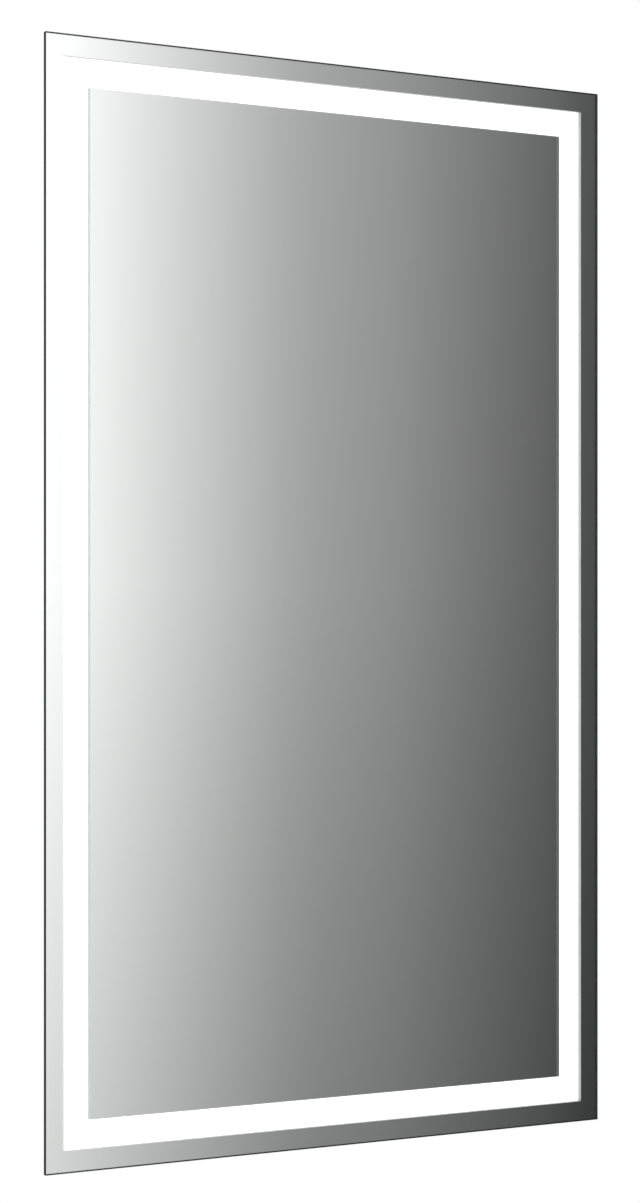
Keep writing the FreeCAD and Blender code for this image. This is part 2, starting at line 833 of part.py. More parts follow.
def make_terminals():
    """The terminal block for the house cable, its clamp screws, and the earth screw with its lug."""
    block_back = box_inside_y + terminal_high
    half_x, half_z = terminal_across / 2, terminal_tall / 2
    body = standing_block(terminal_x, box_z, half_x, half_z, box_inside_y, block_back)
    cuts, screws = [], []
    well = terminal_screw_radius + terminal_well_clearance
    clamp_y = pole_y + mains_wire_radius
    for x in pole_xs:
        start = Vector(x, pole_y, box_z - half_z)
        cuts.append(Part.makeCylinder(pole_bore, terminal_tall, start, Vector(0, 0, 1)))
        for side in (-1, 1):
            z = box_z + side * half_z / 2
            cuts.append(rod(x, z, well, clamp_y, block_back))
            screw = rod(x, z, terminal_screw_radius, clamp_y, clamp_y + terminal_screw_length)
            screws.append(screw.cut(cross_recess(x, z, clamp_y + terminal_screw_length)))
    save("terminal_block", cut_all(body, cuts))
    save("terminal_screws", *screws)

    lug_y = box_inside_y + lug_thickness
    ring_plate = rod(earth_x, earth_z, lug_radius, box_inside_y, lug_y)
    shank_end = earth_x + lug_radius + lug_shank
    low_z, high_z = earth_z - lug_barrel_radius, earth_z + lug_barrel_radius
    shank = block(earth_x, shank_end, box_inside_y, lug_y, low_z, high_z)
    barrel_start = Vector(shank_end - lug_barrel_length / 2, box_inside_y + lug_barrel_radius, earth_z)
    barrel = Part.makeCylinder(lug_barrel_radius, lug_barrel_length, barrel_start, Vector(1, 0, 0))
    hole = rod(earth_x, earth_z, earth_screw_radius + thread_clearance, box_inside_y, lug_y)
    save("earth_lug", ring_plate.fuse([shank, barrel]).removeSplitter().cut(hole))
    radius, length = earth_screw_radius, earth_screw_length
    head = domed_head(earth_screw_head_radius, earth_screw_head_height)
    screw = turned(earth_x, lug_y, earth_z, [(0, -length), (radius, -length), (radius, 0)] + head)
    save("earth_screw", screw.cut(cross_recess(earth_x, earth_z, lug_y + earth_screw_head_height)))


# ---------------------------------------------------------------- driver


def make_driver():
    """The driver's case and lid, with its board, parts and connectors inside."""
    half_x, half_z = driver_across / 2, driver_tall / 2
    lid_back = driver_top_y + driver_wall
    floor_front = panel_front_y - driver_wall
    case = standing_block(driver_x, driver_z, half_x, half_z, lid_back, panel_front_y)
    inside = standing_block(
        driver_x, driver_z, half_x - driver_wall, half_z - driver_wall, lid_back, floor_front
    )
    board_half_x, board_half_z = half_x - board_margin, half_z - board_margin
    post_x, post_z = board_half_x - board_post_radius, board_half_z - board_post_radius
    posts = [
        rod(driver_x + i * post_x, driver_z + j * post_z, board_post_radius, board_back_y, floor_front)
        for i in (-1, 1)
        for j in (-1, 1)
    ]
    ear_front = panel_front_y - driver_ear_thickness
    ears = [
        standing_block(x, z, driver_ear / 2, driver_ear_height / 2, ear_front, panel_front_y)
        for x, z in driver_screw_places()
    ]
    case = case.cut(inside).fuse(posts + ears)
    thread = screw_radius + thread_clearance
    holes = [rod(x, z, thread, ear_front, panel_front_y) for x, z in driver_screw_places()]
    mains_hole = mains_wire_radius + mains_wire_hole_clearance
    feed_hole = feed_wire_radius + feed_wire_hole_clearance
    for i in (-1, 1):
        left = Vector(driver_x - half_x, wire_y, driver_z + i * driver_entry_spacing / 2)
        right = Vector(driver_x + half_x - driver_wall, wire_y, driver_z + i * feed_wire_spacing / 2)
        holes.append(Part.makeCylinder(mains_hole, driver_wall, left, Vector(1, 0, 0)))
        holes.append(Part.makeCylinder(feed_hole, driver_wall, right, Vector(1, 0, 0)))
    save("driver_case", cut_all(case, holes).removeSplitter())
    save("driver_lid", standing_block(driver_x, driver_z, half_x, half_z, driver_top_y, lid_back))
    save("driver_screws", *[pan_screw(x, z, panel_back_y) for x, z in driver_screw_places()])

    board = standing_block(driver_x, driver_z, board_half_x, board_half_z, board_front_y, board_back_y)
    save("driver_board", board)
    parts = [on_board(0, coil_across, coil_tall, coil_high)]
    can_start = driver_x + coil_across
    for i in (-1, 1):
        start = Vector(can_start, board_front_y - can_radius, driver_z + i * can_spacing / 2)
        parts.append(Part.makeCylinder(can_radius, can_length, start, Vector(1, 0, 0)))
    plate_z = driver_z + board_half_z - heat_plate_thickness
    parts.append(
        block(
            driver_x - coil_across / 2 - heat_plate_length,
            driver_x - coil_across / 2 - heat_plate_thickness,
            board_front_y - heat_plate_high,
            board_front_y,
            plate_z,
            plate_z + heat_plate_thickness,
        )
    )
    save("driver_parts", *parts)
    reach = board_half_x - connector_across / 2
    size = connector_across, connector_tall, connector_high
    save("driver_connectors", *[on_board(i * reach, *size) for i in (-1, 1)])


def on_board(along, across, tall, high):
    """A block that stands on the driver's board, placed from its middle."""
    return standing_block(
        driver_x + along, driver_z, across / 2, tall / 2, board_front_y - high, board_front_y
    )


# ---------------------------------------------------------------- wires


def make_wires():
    """Mains wires from terminal block to driver, the earth wire, and the pair that feeds the strips."""
    entry_z = terminal_low_z + wire_insertion
    earth_pole, neutral_pole, live_pole = pole_xs
    driver_left = driver_x - driver_across / 2
    connector_left = driver_left + board_margin
    gap_start = box_x + box_across / 2
    third = (driver_left - gap_start) / 3
    for name, pole, rise, side in (
        ("live_wire", live_pole, live_rise, 1),
        ("neutral_wire", neutral_pole, neutral_rise, -1),
    ):
        turn_z = box_low_z + rise
        end_z = driver_z + side * driver_entry_spacing / 2
        route = [
            (pole, pole_y, entry_z),
            (pole, pole_y, turn_z),
            (gap_start + third, pole_y, turn_z),
            (driver_left - third, wire_y, end_z),
            (connector_left, wire_y, end_z),
        ]
        save(name, tube(route, mains_wire_radius))
    barrel_end = earth_x + lug_radius + lug_shank + lug_barrel_length / 2
    earth_route = [
        (earth_pole, pole_y, entry_z),
        (earth_pole, pole_y, terminal_low_z - earth_bend),
        (earth_pole - earth_bend, box_inside_y + lug_barrel_radius, earth_z),
        (barrel_end, box_inside_y + lug_barrel_radius, earth_z),
    ]
    save("earth_wire", tube(earth_route, mains_wire_radius))

    driver_right = driver_x + driver_across / 2
    connector_right = driver_right - board_margin
    step = (feed_x - driver_right) / feed_steps
    for name, i in (("feed_wire_plus", 1), ("feed_wire_minus", -1)):
        z = driver_z + i * feed_wire_spacing / 2
        route = [
            (connector_right, wire_y, z),
            (driver_right + step, wire_y, z),
            (driver_right + 2 * step, feed_y, z),
            (feed_x, feed_y, z),
            (feed_x, floor_y, z),
        ]
        save(name, tube(route, feed_wire_radius))

    clip_x = driver_right + 3 * step
    clip_front = feed_y - feed_wire_radius - clip_cover
    clip = standing_block(clip_x, driver_z, clip_across / 2, clip_tall / 2, clip_front, panel_front_y)
    grooves = [
        Part.makeCylinder(
            feed_wire_radius + clip_clearance,
            clip_across,
            Vector(clip_x - clip_across / 2, feed_y, driver_z + i * feed_wire_spacing / 2),
            Vector(1, 0, 0),
        )
        for i in (-1, 1)
    ]
    save("wire_clip", cut_all(clip, grooves))


# ---------------------------------------------------------------- build

os.makedirs("parts", exist_ok=True)
make_pane()
make_tapes()
make_frame()
make_corner_keys()
make_diffuser()
make_light_strips()
make_back_panel()
make_rails()
make_bumpers()
make_wiring_box()
make_terminals()
make_driver()
make_wires()
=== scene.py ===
# Lighted bathroom mirror: its finishes and finely shaped pieces, in the order in which it is put together.
# Places are in metres in the part's own frame: the wall is the plane Y = 0 and the mirror looks along -Y.
import bmesh
import bpy
import json
import math
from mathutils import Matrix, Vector


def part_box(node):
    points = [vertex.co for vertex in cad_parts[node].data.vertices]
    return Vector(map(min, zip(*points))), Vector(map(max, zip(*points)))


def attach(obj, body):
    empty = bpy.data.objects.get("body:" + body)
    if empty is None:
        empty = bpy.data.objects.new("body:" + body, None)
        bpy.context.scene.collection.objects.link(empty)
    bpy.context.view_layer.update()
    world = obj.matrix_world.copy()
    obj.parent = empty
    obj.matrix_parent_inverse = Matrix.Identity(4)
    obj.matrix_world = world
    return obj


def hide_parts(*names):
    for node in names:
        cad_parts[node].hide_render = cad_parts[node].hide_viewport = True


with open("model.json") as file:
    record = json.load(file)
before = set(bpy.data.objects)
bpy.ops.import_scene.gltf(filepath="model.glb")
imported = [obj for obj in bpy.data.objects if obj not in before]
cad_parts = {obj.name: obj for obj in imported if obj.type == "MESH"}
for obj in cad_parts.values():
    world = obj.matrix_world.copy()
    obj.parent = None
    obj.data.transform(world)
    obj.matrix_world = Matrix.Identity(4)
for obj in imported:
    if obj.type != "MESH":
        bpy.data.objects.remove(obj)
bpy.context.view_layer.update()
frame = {"nodes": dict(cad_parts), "record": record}
mm = 0.001

# ---------------------------------------------------------------- viewpoint and studio
# The mirror hangs a metre above a pale floor and is seen from its left, level, from 2.9 m away. Its
# silver shows the studio that it faces: a bright wall on one side that falls off into a dark one.

viewpoint = (-1.511, -2.462, -0.3783)
view_turn = math.radians(31.65)  # from straight on, towards the mirror's right
view_lens = 92.4  # in millimetres, for a picture whose long side is 36 mm on the film
horizon_shift = 0.0285  # the picture reaches further up than down, and the camera stays level

bpy.ops.object.select_all(action="DESELECT")
bpy.ops.object.camera_add(location=viewpoint, rotation=(math.pi / 2, 0, -view_turn))
camera = bpy.context.object
camera.name = "viewpoint"
camera.data.sensor_width = 36
camera.data.lens = view_lens
camera.data.shift_y = horizon_shift
scene = bpy.context.scene
scene.camera = camera
scene.view_settings.view_transform = "Standard"


def add_node(tree, kind, inputs=(), **settings):
    """A shader node with these settings, its inputs set to values or wired to other nodes' outputs."""
    node = tree.nodes.new(kind)
    for setting, value in settings.items():
        setattr(node, setting, value)
    for socket, value in dict(inputs).items():
        if isinstance(value, bpy.types.NodeSocket):
            tree.links.new(value, node.inputs[socket])
        else:
            node.inputs[socket].default_value = value
    return node


def reckon(tree, operation, *values):
    """The output of one sum, product or other step of arithmetic."""
    return add_node(tree, "ShaderNodeMath", enumerate(values), operation=operation).outputs[0]


def fade(tree, value, start, end, low=0.0, high=1.0, smooth=True):
    """Runs from low to high while the value runs from start to end, and stays there on both sides."""
    return add_node(
        tree,
        "ShaderNodeMapRange",
        {0: value, 1: start, 2: end, 3: low, 4: high},
        interpolation_type="SMOOTHSTEP" if smooth else "LINEAR",
        clamp=True,
    ).outputs[0]


def tone_ramp(tree, share, stops):
    """A grey that follows these (share, tone) stops."""
    ramp = add_node(tree, "ShaderNodeValToRGB", {"Fac": share})
    elements = ramp.color_ramp.elements
    while len(elements) < len(stops):
        elements.new(0.5)
    for element, (place, tone) in zip(elements, stops):
        element.position = place
        element.color = (tone, tone, tone, 1)
    return ramp.outputs["Color"]


# What the studio shows in each direction round the mirror: degrees from straight ahead, and tone
studio_tones = (
    (-90, 0.85),
    (-62, 0.60),
    (-46, 0.80),
    (-28, 0.62),
    (-14, 0.76),
    (0, 0.66),
    (12, 0.84),
    (23, 1.08),
    (26.75, 0.98),
    (29.4, 0.765),
    (31.3, 0.617),
    (33.1, 0.54),
    (35.8, 0.38),
    (36.8, 0.28),
    (42, 0.22),
    (60, 0.50),
    (90, 0.85),
)
tone_power = 2.2  # from a tone, as the eye sees it, to an amount of light
glass_loss = 0.893  # what two passes of the glass and one of the silver leave
plain_light = 0.78  # what falls on dull surfaces, from every side
front_rim = 0.05  # how softly the studio in front gives way to the white behind

# The studio darkens from eye level down to its foot, and brightens a little up to its top
eye_level = math.radians(1)
studio_foot = math.radians(-9.5)
studio_top = math.radians(12)
foot_shade = 0.022
foot_shade_of_tone = 0.145
top_light = 0.035


def ray_kinds(tree):
    """Two outputs: 1 for a ray from the camera, and 1 for one from a reflection or through glass."""
    ray = add_node(tree, "ShaderNodeLightPath").outputs
    return ray["Is Camera Ray"], reckon(tree, "MAXIMUM", ray["Is Glossy Ray"], ray["Is Transmission Ray"])


bpy.ops.world.new()
studio = bpy.data.worlds[-1]
studio.name = "studio"
studio.use_nodes = True
scene.world = studio
tree = studio.node_tree
tree.nodes.clear()
direction = add_node(tree, "ShaderNodeTexCoord").outputs["Generated"]
towards = add_node(tree, "ShaderNodeSeparateXYZ", {0: direction}).outputs
ahead = reckon(tree, "MULTIPLY", towards["Y"], -1)
turn = reckon(tree, "ARCTAN2", towards["X"], ahead)
share_of_turn = fade(tree, turn, -math.pi / 2, math.pi / 2, smooth=False)
round_tone = tone_ramp(tree, share_of_turn, [(0.5 + angle / 180, tone) for angle, tone in studio_tones])
height = reckon(tree, "ARCSINE", towards["Z"])
sinking = fade(tree, height, eye_level, studio_foot, smooth=False)
rising = fade(tree, height, eye_level, studio_top, 0, top_light, smooth=False)
full_shade = reckon(tree, "MULTIPLY_ADD", round_tone, foot_shade_of_tone, foot_shade)
shade = reckon(tree, "MULTIPLY", sinking, full_shade)
tone = reckon(tree, "ADD", reckon(tree, "SUBTRACT", round_tone, shade), rising)
in_front = reckon(tree, "DIVIDE", reckon(tree, "POWER", tone, tone_power), glass_loss)
behind = fade(tree, ahead, front_rim, -front_rim)
in_mirror = add_node(tree, "ShaderNodeMix", {0: behind, 2: in_front, 3: 1.0}).outputs[0]
from_camera, from_gloss = ray_kinds(tree)
lit = add_node(tree, "ShaderNodeMix", {0: from_gloss, 2: plain_light, 3: in_mirror}).outputs[0]
shown = add_node(tree, "ShaderNodeMix", {0: from_camera, 2: lit, 3: 1.0}).outputs[0]
backdrop = add_node(tree, "ShaderNodeBackground", {"Color": shown})
add_node(tree, "ShaderNodeOutputWorld", {"Surface": backdrop.outputs[0]})


def new_finish(name):
    """A new material: its node tree, its shader, and the place on the piece that its patterns follow."""
    finish = bpy.data.materials.new(name)
    finish.use_nodes = True
    tree = finish.node_tree
    tree.nodes.clear()
    shader = add_node(tree, "ShaderNodeBsdfPrincipled")
    add_node(tree, "ShaderNodeOutputMaterial", {"Surface": shader.outputs[0]})
    place = add_node(tree, "ShaderNodeTexCoord").outputs["Object"]
    return finish, tree, shader, place


def set_gloss(shader, **values):
    """Sets what is the same all over the finish, on the shader's own sockets."""
    for socket, value in values.items():
        shader.inputs[socket.replace("_", " ")].default_value = value


def grain(tree, place, scale, detail=3.0, stretch=(1, 1, 1)):
    """Soft noise about 1 / scale metres across, drawn out where stretch is small."""
    drawn = add_node(tree, "ShaderNodeMapping", {"Vector": place, "Scale": stretch}).outputs[0]
    noise = add_node(tree, "ShaderNodeTexNoise", {"Vector": drawn, "Scale": scale, "Detail": detail})
    return noise.outputs["Fac"]


def two_tones(tree, share, first, second):
    """A colour between two, each given as red, green and blue or as another node's output."""
    sides = [side if isinstance(side, bpy.types.NodeSocket) else (*side, 1) for side in (first, second)]
    return add_node(tree, "ShaderNodeMix", {0: share, 6: sides[0], 7: sides[1]}, data_type="RGBA").outputs[2]


def set_colour(tree, shader, colour):
    """Wires a colour to the finish."""
    tree.links.new(colour, shader.inputs["Base Color"])


def mottle(tree, shader, pattern, first, second, start=0.3, end=0.7):
    """Colours the finish from the first tone to the second as its pattern runs from start to end."""
    set_colour(tree, shader, two_tones(tree, fade(tree, pattern, start, end), first, second))


def set_roughness(tree, shader, pattern, low, high, start=0.3, end=0.7):
    """Dulls the finish from low to high as its pattern runs from start to end."""
    tree.links.new(fade(tree, pattern, start, end, low, high), shader.inputs["Roughness"])


def set_relief(tree, shader, height, depth):
    """Gives the finish a relief, this deep in metres."""
    bump = add_node(tree, "ShaderNodeBump", {"Height": height, "Distance": depth})
    tree.links.new(bump.outputs[0], shader.inputs["Normal"])


floor_drop = 1.85
floor_radius = 3.0
floor_fade = 1.3  # from here to its rim the floor fades into the white ground
bpy.ops.mesh.primitive_circle_add(
    vertices=128, radius=floor_radius, fill_type="NGON", location=(0, 0, -floor_drop)
)
floor = bpy.context.object
floor.name = "floor"
pale_floor, tree, shader, place = new_finish("pale_floor")
mottle(tree, shader, grain(tree, place, 3, 5), (0.79, 0.79, 0.79), (0.802, 0.802, 0.802))
set_gloss(shader, Roughness=0.7)
seen = reckon(tree, "MAXIMUM", *ray_kinds(tree))
brightness = fade(tree, seen, 0, 1, plain_light, 1.0)
white = add_node(tree, "ShaderNodeEmission", {"Strength": brightness}).outputs[0]
from_middle = add_node(tree, "ShaderNodeVectorMath", {0: place}, operation="LENGTH").outputs["Value"]
towards_rim = fade(tree, from_middle, floor_fade, floor_radius)
faded = add_node(tree, "ShaderNodeMixShader", {0: towards_rim, 1: shader.outputs[0], 2: white}).outputs[0]
tree.links.new(faded, tree.nodes["Material Output"].inputs["Surface"])
pale_floor.cycles.emission_sampling = "NONE"  # its white rim is a backdrop, not a lamp
floor.data.materials.append(pale_floor)

lamp_power = 48.0
lamp_size = 2.2
lamp_stands = {"front_lamp": (-2.3, -2.7, 2.3), "back_lamp": (2.0, 2.8, 2.2)}
pane_middle = Vector((0, 0, -0.35))
for name, stand in lamp_stands.items():
    aim = (pane_middle - Vector(stand)).to_track_quat("-Z", "Y").to_euler()
    bpy.ops.object.light_add(type="AREA", location=stand, rotation=aim)
    lamp = bpy.context.object
    lamp.name = name
    lamp.data.size = lamp_size
    lamp.data.energy = lamp_power
    lamp.visible_camera = False
    lamp.visible_transmission = False

# ---------------------------------------------------------------- pane
# One sheet of 4 mm float glass, cut square, with its edges ground and its arrises taken off. The ground
# edges are dull, and their colour is painted nearly black: a painted shade for the dark that they show, as
# no light comes out of them.


def pick_none():
    """Leaves edit mode and selects nothing, so that the next operator acts on its own piece alone."""
    if bpy.context.object and bpy.context.object.mode != "OBJECT":
        bpy.ops.object.mode_set(mode="OBJECT")
    bpy.ops.object.select_all(action="DESELECT")


def take_up(piece):
    """Selects one piece, ready for edit mode or for a modifier."""
    pick_none()
    piece.select_set(True)
    bpy.context.view_layer.objects.active = piece


def settle(name):
    """Names the piece in hand and brings its object to the origin, with its place in its mesh."""
    bpy.ops.object.transform_apply(location=True, rotation=True, scale=True)
    piece = bpy.context.object
    piece.name = name
    return piece


def start_block(name, low, high):
    """A plain block between two corners, from which a piece is worked."""
    pick_none()
    low, high = Vector(low), Vector(high)
    bpy.ops.mesh.primitive_cube_add(size=1, location=(low + high) / 2, scale=high - low)
    return settle(name)


def edit_whole():
    """Enters edit mode with the whole of the piece in hand selected."""
    bpy.ops.object.mode_set(mode="EDIT")
    bpy.ops.mesh.select_mode(type="VERT")
    bpy.ops.mesh.select_all(action="SELECT")


def pick(kind, test):
    """In edit mode, selects the corners, edges or faces that pass the test, and no others."""
    bpy.ops.mesh.select_mode(type=kind)
    bpy.ops.mesh.select_all(action="DESELECT")
    mesh = bmesh.from_edit_mesh(bpy.context.object.data)
    for part in {"VERT": mesh.verts, "EDGE": mesh.edges, "FACE": mesh.faces}[kind]:
        part.select_set(bool(test(part)))
    bmesh.update_edit_mesh(bpy.context.object.data)


def finish_nodes(finish, *names):
    """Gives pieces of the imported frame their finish."""
    for name in names:
        skin = frame["nodes"][name].data
        skin.materials.clear()
        skin.materials.append(finish)


def hand_over(piece, finish, body, slot, *nodes):
    """Gives a finished piece its finish and its body, and lets it stand for its nodes."""
    if not piece.data.materials:
        piece.data.materials.append(finish)
    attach(piece, body)
    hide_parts(*nodes)
    finish_nodes(finish, *nodes)


arris = 0.5 * mm
film_lap = 0.05 * mm  # the glass ends inside the silver, so that no two faces lie in one plane
low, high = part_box("mirror_glass")
pane = start_block("mirror_pane", low, high + Vector((0, film_lap, 0)))
edit_whole()
bpy.ops.mesh.bevel(offset=arris, segments=1)
bpy.ops.object.mode_set(mode="OBJECT")

clear_glass, tree, shader, place = new_finish("clear_glass")
mottle(tree, shader, grain(tree, place, 1.5, 2), (0.972, 0.988, 0.98), (0.98, 0.992, 0.986))
set_gloss(shader, Roughness=0.0, IOR=1.52, Transmission_Weight=1.0)

ground_edge_painted_dark, tree, shader, place = new_finish("ground_glass_edge_painted_shade")
grinding = grain(tree, place, 900, 4)
# painted shade: the ground edges are coloured nearly black for the dark that they show, where no light comes
# out of them
mottle(tree, shader, grinding, (0.010, 0.016, 0.014), (0.022, 0.030, 0.027), 0.35, 0.65)
set_roughness(tree, shader, grinding, 0.32, 0.45)
set_gloss(shader, Specular_IOR_Level=0.06, IOR=1.52, Transmission_Weight=0.15)

pane.data.materials.append(clear_glass)
pane.data.materials.append(ground_edge_painted_dark)
for face in pane.data.polygons:
    face.material_index = 0 if abs(face.normal.y) > 0.99 else 1
hand_over(pane, clear_glass, "mirror", "clear_glass", "mirror_glass")

# ---------------------------------------------------------------- silver and paint
# Silver is deposited on the back of the glass and roller-painted over. Both are blasted off again in a
# ring, and the bare glass that is left is the lit band.

mirror_silver, tree, shader, place = new_finish("mirror_silver")
mottle(tree, shader, grain(tree, place, 2), (0.925, 0.935, 0.93), (0.935, 0.94, 0.935))
set_gloss(shader, Metallic=1.0, Roughness=0.0)
finish_nodes(mirror_silver, "silver_border", "silver_center")

backing_paint, tree, shader, place = new_finish("backing_paint")
stipple = grain(tree, place, 700, 4)
mottle(tree, shader, grain(tree, place, 9, 5, (1, 1, 0.25)), (0.19, 0.23, 0.22), (0.23, 0.27, 0.26))
set_roughness(tree, shader, stipple, 0.45, 0.6)
set_relief(tree, shader, stipple, 0.03 * mm)
finish_nodes(backing_paint, "back_paint_border", "back_paint_center")

# ---------------------------------------------------------------- bonding tapes
# Black closed-cell foam tape, 1 mm thick, on the frame's flanges. It holds the pane and takes up the
# waviness of the glass.

foam_tape, tree, shader, place = new_finish("foam_tape")
cells = add_node(tree, "ShaderNodeTexVoronoi", {"Vector": place, "Scale": 2400}).outputs["Distance"]
mottle(tree, shader, cells, (0.012, 0.012, 0.013), (0.04, 0.04, 0.042), 0, 0.6)
set_roughness(tree, shader, grain(tree, place, 300), 0.8, 0.95)
set_relief(tree, shader, cells, 0.12 * mm)
finish_nodes(foam_tape, "bonding_tape_outer", "bonding_tape_inner")

# ---------------------------------------------------------------- frame, corner keys and their screws
# Four mitred lengths of one aluminium extrusion, etched and satin anodised, so fine die lines run along
# each. Zinc-plated steel keys lie in the corners, held by countersunk screws from the back.


def anodise(name, drawn):
    """Satin anodised aluminium whose die lines run along one way."""
    finish, tree, shader, place = new_finish(name)
    lines = grain(tree, place, 2600, 2, drawn)
    streaks = grain(tree, place, 160, 3, drawn)
    mottle(tree, shader, streaks, (0.49, 0.495, 0.50), (0.56, 0.565, 0.57))
    set_roughness(tree, shader, lines, 0.42, 0.56, 0.25, 0.75)
    set_relief(tree, shader, lines, 0.01 * mm)
    set_gloss(shader, Metallic=0.72)
    return finish


same_place = 0.001 * mm  # corners no further apart are one
same_plane = math.radians(0.5)  # faces that turn no more than this are one
sharp_turn = math.radians(30)  # an edge at which the surface turns more than this is sharp
crease = math.radians(20)  # and one at which it turns more than this isn't shaded smoothly


def work_over(node, name):
    """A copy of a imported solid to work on, its triangles merged into whole faces."""
    pick_none()
    piece = bpy.data.objects.new(name, frame["nodes"][node].data.copy())
    piece.data.materials.clear()
    bpy.context.collection.objects.link(piece)
    take_up(piece)
    edit_whole()
    bpy.ops.mesh.remove_doubles(threshold=same_place)
    bpy.ops.mesh.dissolve_limited(angle_limit=same_plane)
    bpy.ops.object.mode_set(mode="OBJECT")
    return piece


def ease_edges(piece, width, detail):
    """Takes the sharpness off every edge that is longer than the piece's fine details."""
    take_up(piece)
    bpy.ops.object.mode_set(mode="EDIT")
    pick("EDGE", lambda edge: edge.calc_length() > detail and edge.calc_face_angle(0) > sharp_turn)
    bpy.ops.mesh.bevel(offset=width, segments=2)
    bpy.ops.object.mode_set(mode="OBJECT")
    bpy.ops.object.shade_smooth_by_angle(angle=crease)


anodised_across = anodise("anodised_across", (0.01, 1, 1))
anodised_upright = anodise("anodised_upright", (1, 1, 0.01))
die_radius = 0.2 * mm
bar_detail = 100 * mm  # only the edges along the bar are longer
for side in ("top", "bottom", "left", "right"):
    bar = work_over(f"frame_{side}", f"frame_{side}_extrusion")
    ease_edges(bar, die_radius, bar_detail)
    finish = anodised_across if side in ("top", "bottom") else anodised_upright
    hand_over(bar, finish, "mirror", "anodised_aluminium", f"frame_{side}")

zinc_plate, tree, shader, place = new_finish("zinc_plate")
spangle = add_node(tree, "ShaderNodeTexVoronoi", {"Vector": place, "Scale": 170}).outputs["Color"]
rolled = grain(tree, place, 500, 4, (0.08, 1, 1))
cloud = reckon(tree, "MULTIPLY_ADD", rolled, 0.5, reckon(tree, "MULTIPLY", spangle, 0.5))
mottle(tree, shader, cloud, (0.40, 0.42, 0.45), (0.60, 0.61, 0.62), 0.2, 0.8)
set_roughness(tree, shader, cloud, 0.30, 0.48, 0.2, 0.8)
set_relief(tree, shader, rolled, 0.02 * mm)
set_gloss(shader, Metallic=0.9)
key_radius = 0.3 * mm
key_detail = 5 * mm
for corner in ("top_left", "top_right", "bottom_left", "bottom_right"):
    key = work_over(f"corner_key_{corner}", f"corner_key_{corner}_plate")
    ease_edges(key, key_radius, key_detail)
    hand_over(key, zinc_plate, "mirror", "zinc_steel", f"corner_key_{corner}")

bright_screw, tree, shader, place = new_finish("bright_screw")
brushed = grain(tree, place, 2500, 3)
mottle(tree, shader, brushed, (0.52, 0.53, 0.55), (0.66, 0.66, 0.65))
set_roughness(tree, shader, brushed, 0.22, 0.36)
set_gloss(shader, Metallic=1.0)
finish_nodes(bright_screw, "corner_key_screws")

# ---------------------------------------------------------------- diffuser
# One ring of 2 mm opal acrylic, which lies on the frame's ledges 4 mm behind the bare glass. It is lit
# from behind and glows evenly white.


def set_light(tree, shader, colour, strength):
    """Lets the finish glow in a colour that is wired to it."""
    tree.links.new(colour, shader.inputs["Emission Color"])
    set_gloss(shader, Emission_Strength=strength)


glow = 1.15  # just over plain white
opal_acrylic, tree, shader, place = new_finish("opal_acrylic")
cloud = fade(tree, grain(tree, place, 12), 0.3, 0.7)
set_colour(tree, shader, two_tones(tree, cloud, (0.90, 0.90, 0.895), (0.92, 0.92, 0.92)))
set_light(tree, shader, two_tones(tree, cloud, (0.99, 0.995, 1.0), (1.0, 1.0, 1.0)), glow)
set_roughness(tree, shader, grain(tree, place, 60), 0.30, 0.38)
finish_nodes(opal_acrylic, "diffuser")

# ---------------------------------------------------------------- light strips
# Thin white circuit strips glued to the frame's floor, with a light chip about every 17 mm and short
# pairs of jumper wires soldered across three corners.


def lay_tracks(tree, place, sizes, first, second, gap, **settings):
    """A circuit board's tracks: bricks of two tones in the board's plane, with gaps of a third."""
    flat = add_node(tree, "ShaderNodeMapping", {"Vector": place, "Rotation": (math.pi / 2, 0, 0)}).outputs[0]
    tones = {"Color1": (*first, 1), "Color2": (*second, 1), "Mortar": (*gap, 1)}
    return add_node(tree, "ShaderNodeTexBrick", {"Vector": flat, **sizes, **tones}, **settings).outputs


strip_board, tree, shader, place = new_finish("strip_board")
strip_tracks = {"Scale": 60, "Brick Width": 1.02, "Row Height": 0.21, "Mortar Size": 0.02}
tracks = lay_tracks(tree, place, strip_tracks, (0.80, 0.80, 0.785), (0.785, 0.785, 0.77), (0.70, 0.69, 0.66))
set_colour(tree, shader, tracks["Color"])
set_roughness(tree, shader, grain(tree, place, 400), 0.35, 0.5)
finish_nodes(strip_board, "light_strip_top", "light_strip_bottom", "light_strip_left", "light_strip_right")


def facing_y(tree):
    """How squarely the surface faces along Y: from -1, out of the mirror, to 1, towards the wall."""
    normal = add_node(tree, "ShaderNodeNewGeometry").outputs["Normal"]
    return add_node(tree, "ShaderNodeSeparateXYZ", {0: normal}).outputs["Y"]


chip_glow = 1.0
light_chip, tree, shader, place = new_finish("light_chip")
window = fade(tree, facing_y(tree), -0.8, -0.95)
speck = fade(tree, grain(tree, place, 900), 0.3, 0.7, 0, 0.15)
phosphor = two_tones(tree, speck, (0.86, 0.66, 0.16), (0.80, 0.58, 0.10))
set_colour(tree, shader, two_tones(tree, window, (0.85, 0.85, 0.83), phosphor))
set_light(tree, shader, two_tones(tree, window, (0.02, 0.02, 0.02), (1.0, 0.97, 0.88)), chip_glow)
set_gloss(shader, Roughness=0.35)
light_chip.cycles.emission_sampling = "NONE"  # they only light the closed channel behind the diffuser
finish_nodes(light_chip, "light_chips_top", "light_chips_bottom", "light_chips_left", "light_chips_right")


def insulate(name, colour, stripe=None):
    """Soft PVC insulation, slightly glossy, with a second colour along both sides if stripe is given."""
    finish, tree, shader, place = new_finish(name)
    scuff = grain(tree, place, 300, 4)
    worn = tuple(0.75 * share + 0.05 for share in colour)  # a little paler and greyer
    coat = two_tones(tree, fade(tree, scuff, 0.45, 0.8), colour, worn)
    if stripe:
        side = reckon(tree, "ABSOLUTE", facing_y(tree))
        coat = two_tones(tree, fade(tree, side, 0.38, 0.42), stripe, coat)
    set_colour(tree, shader, coat)
    set_roughness(tree, shader, scuff, 0.32, 0.5)
    set_relief(tree, shader, scuff, 0.02 * mm)
    return finish


finish_nodes(insulate("jumper_insulation", (0.72, 0.70, 0.66)), "strip_jumpers")

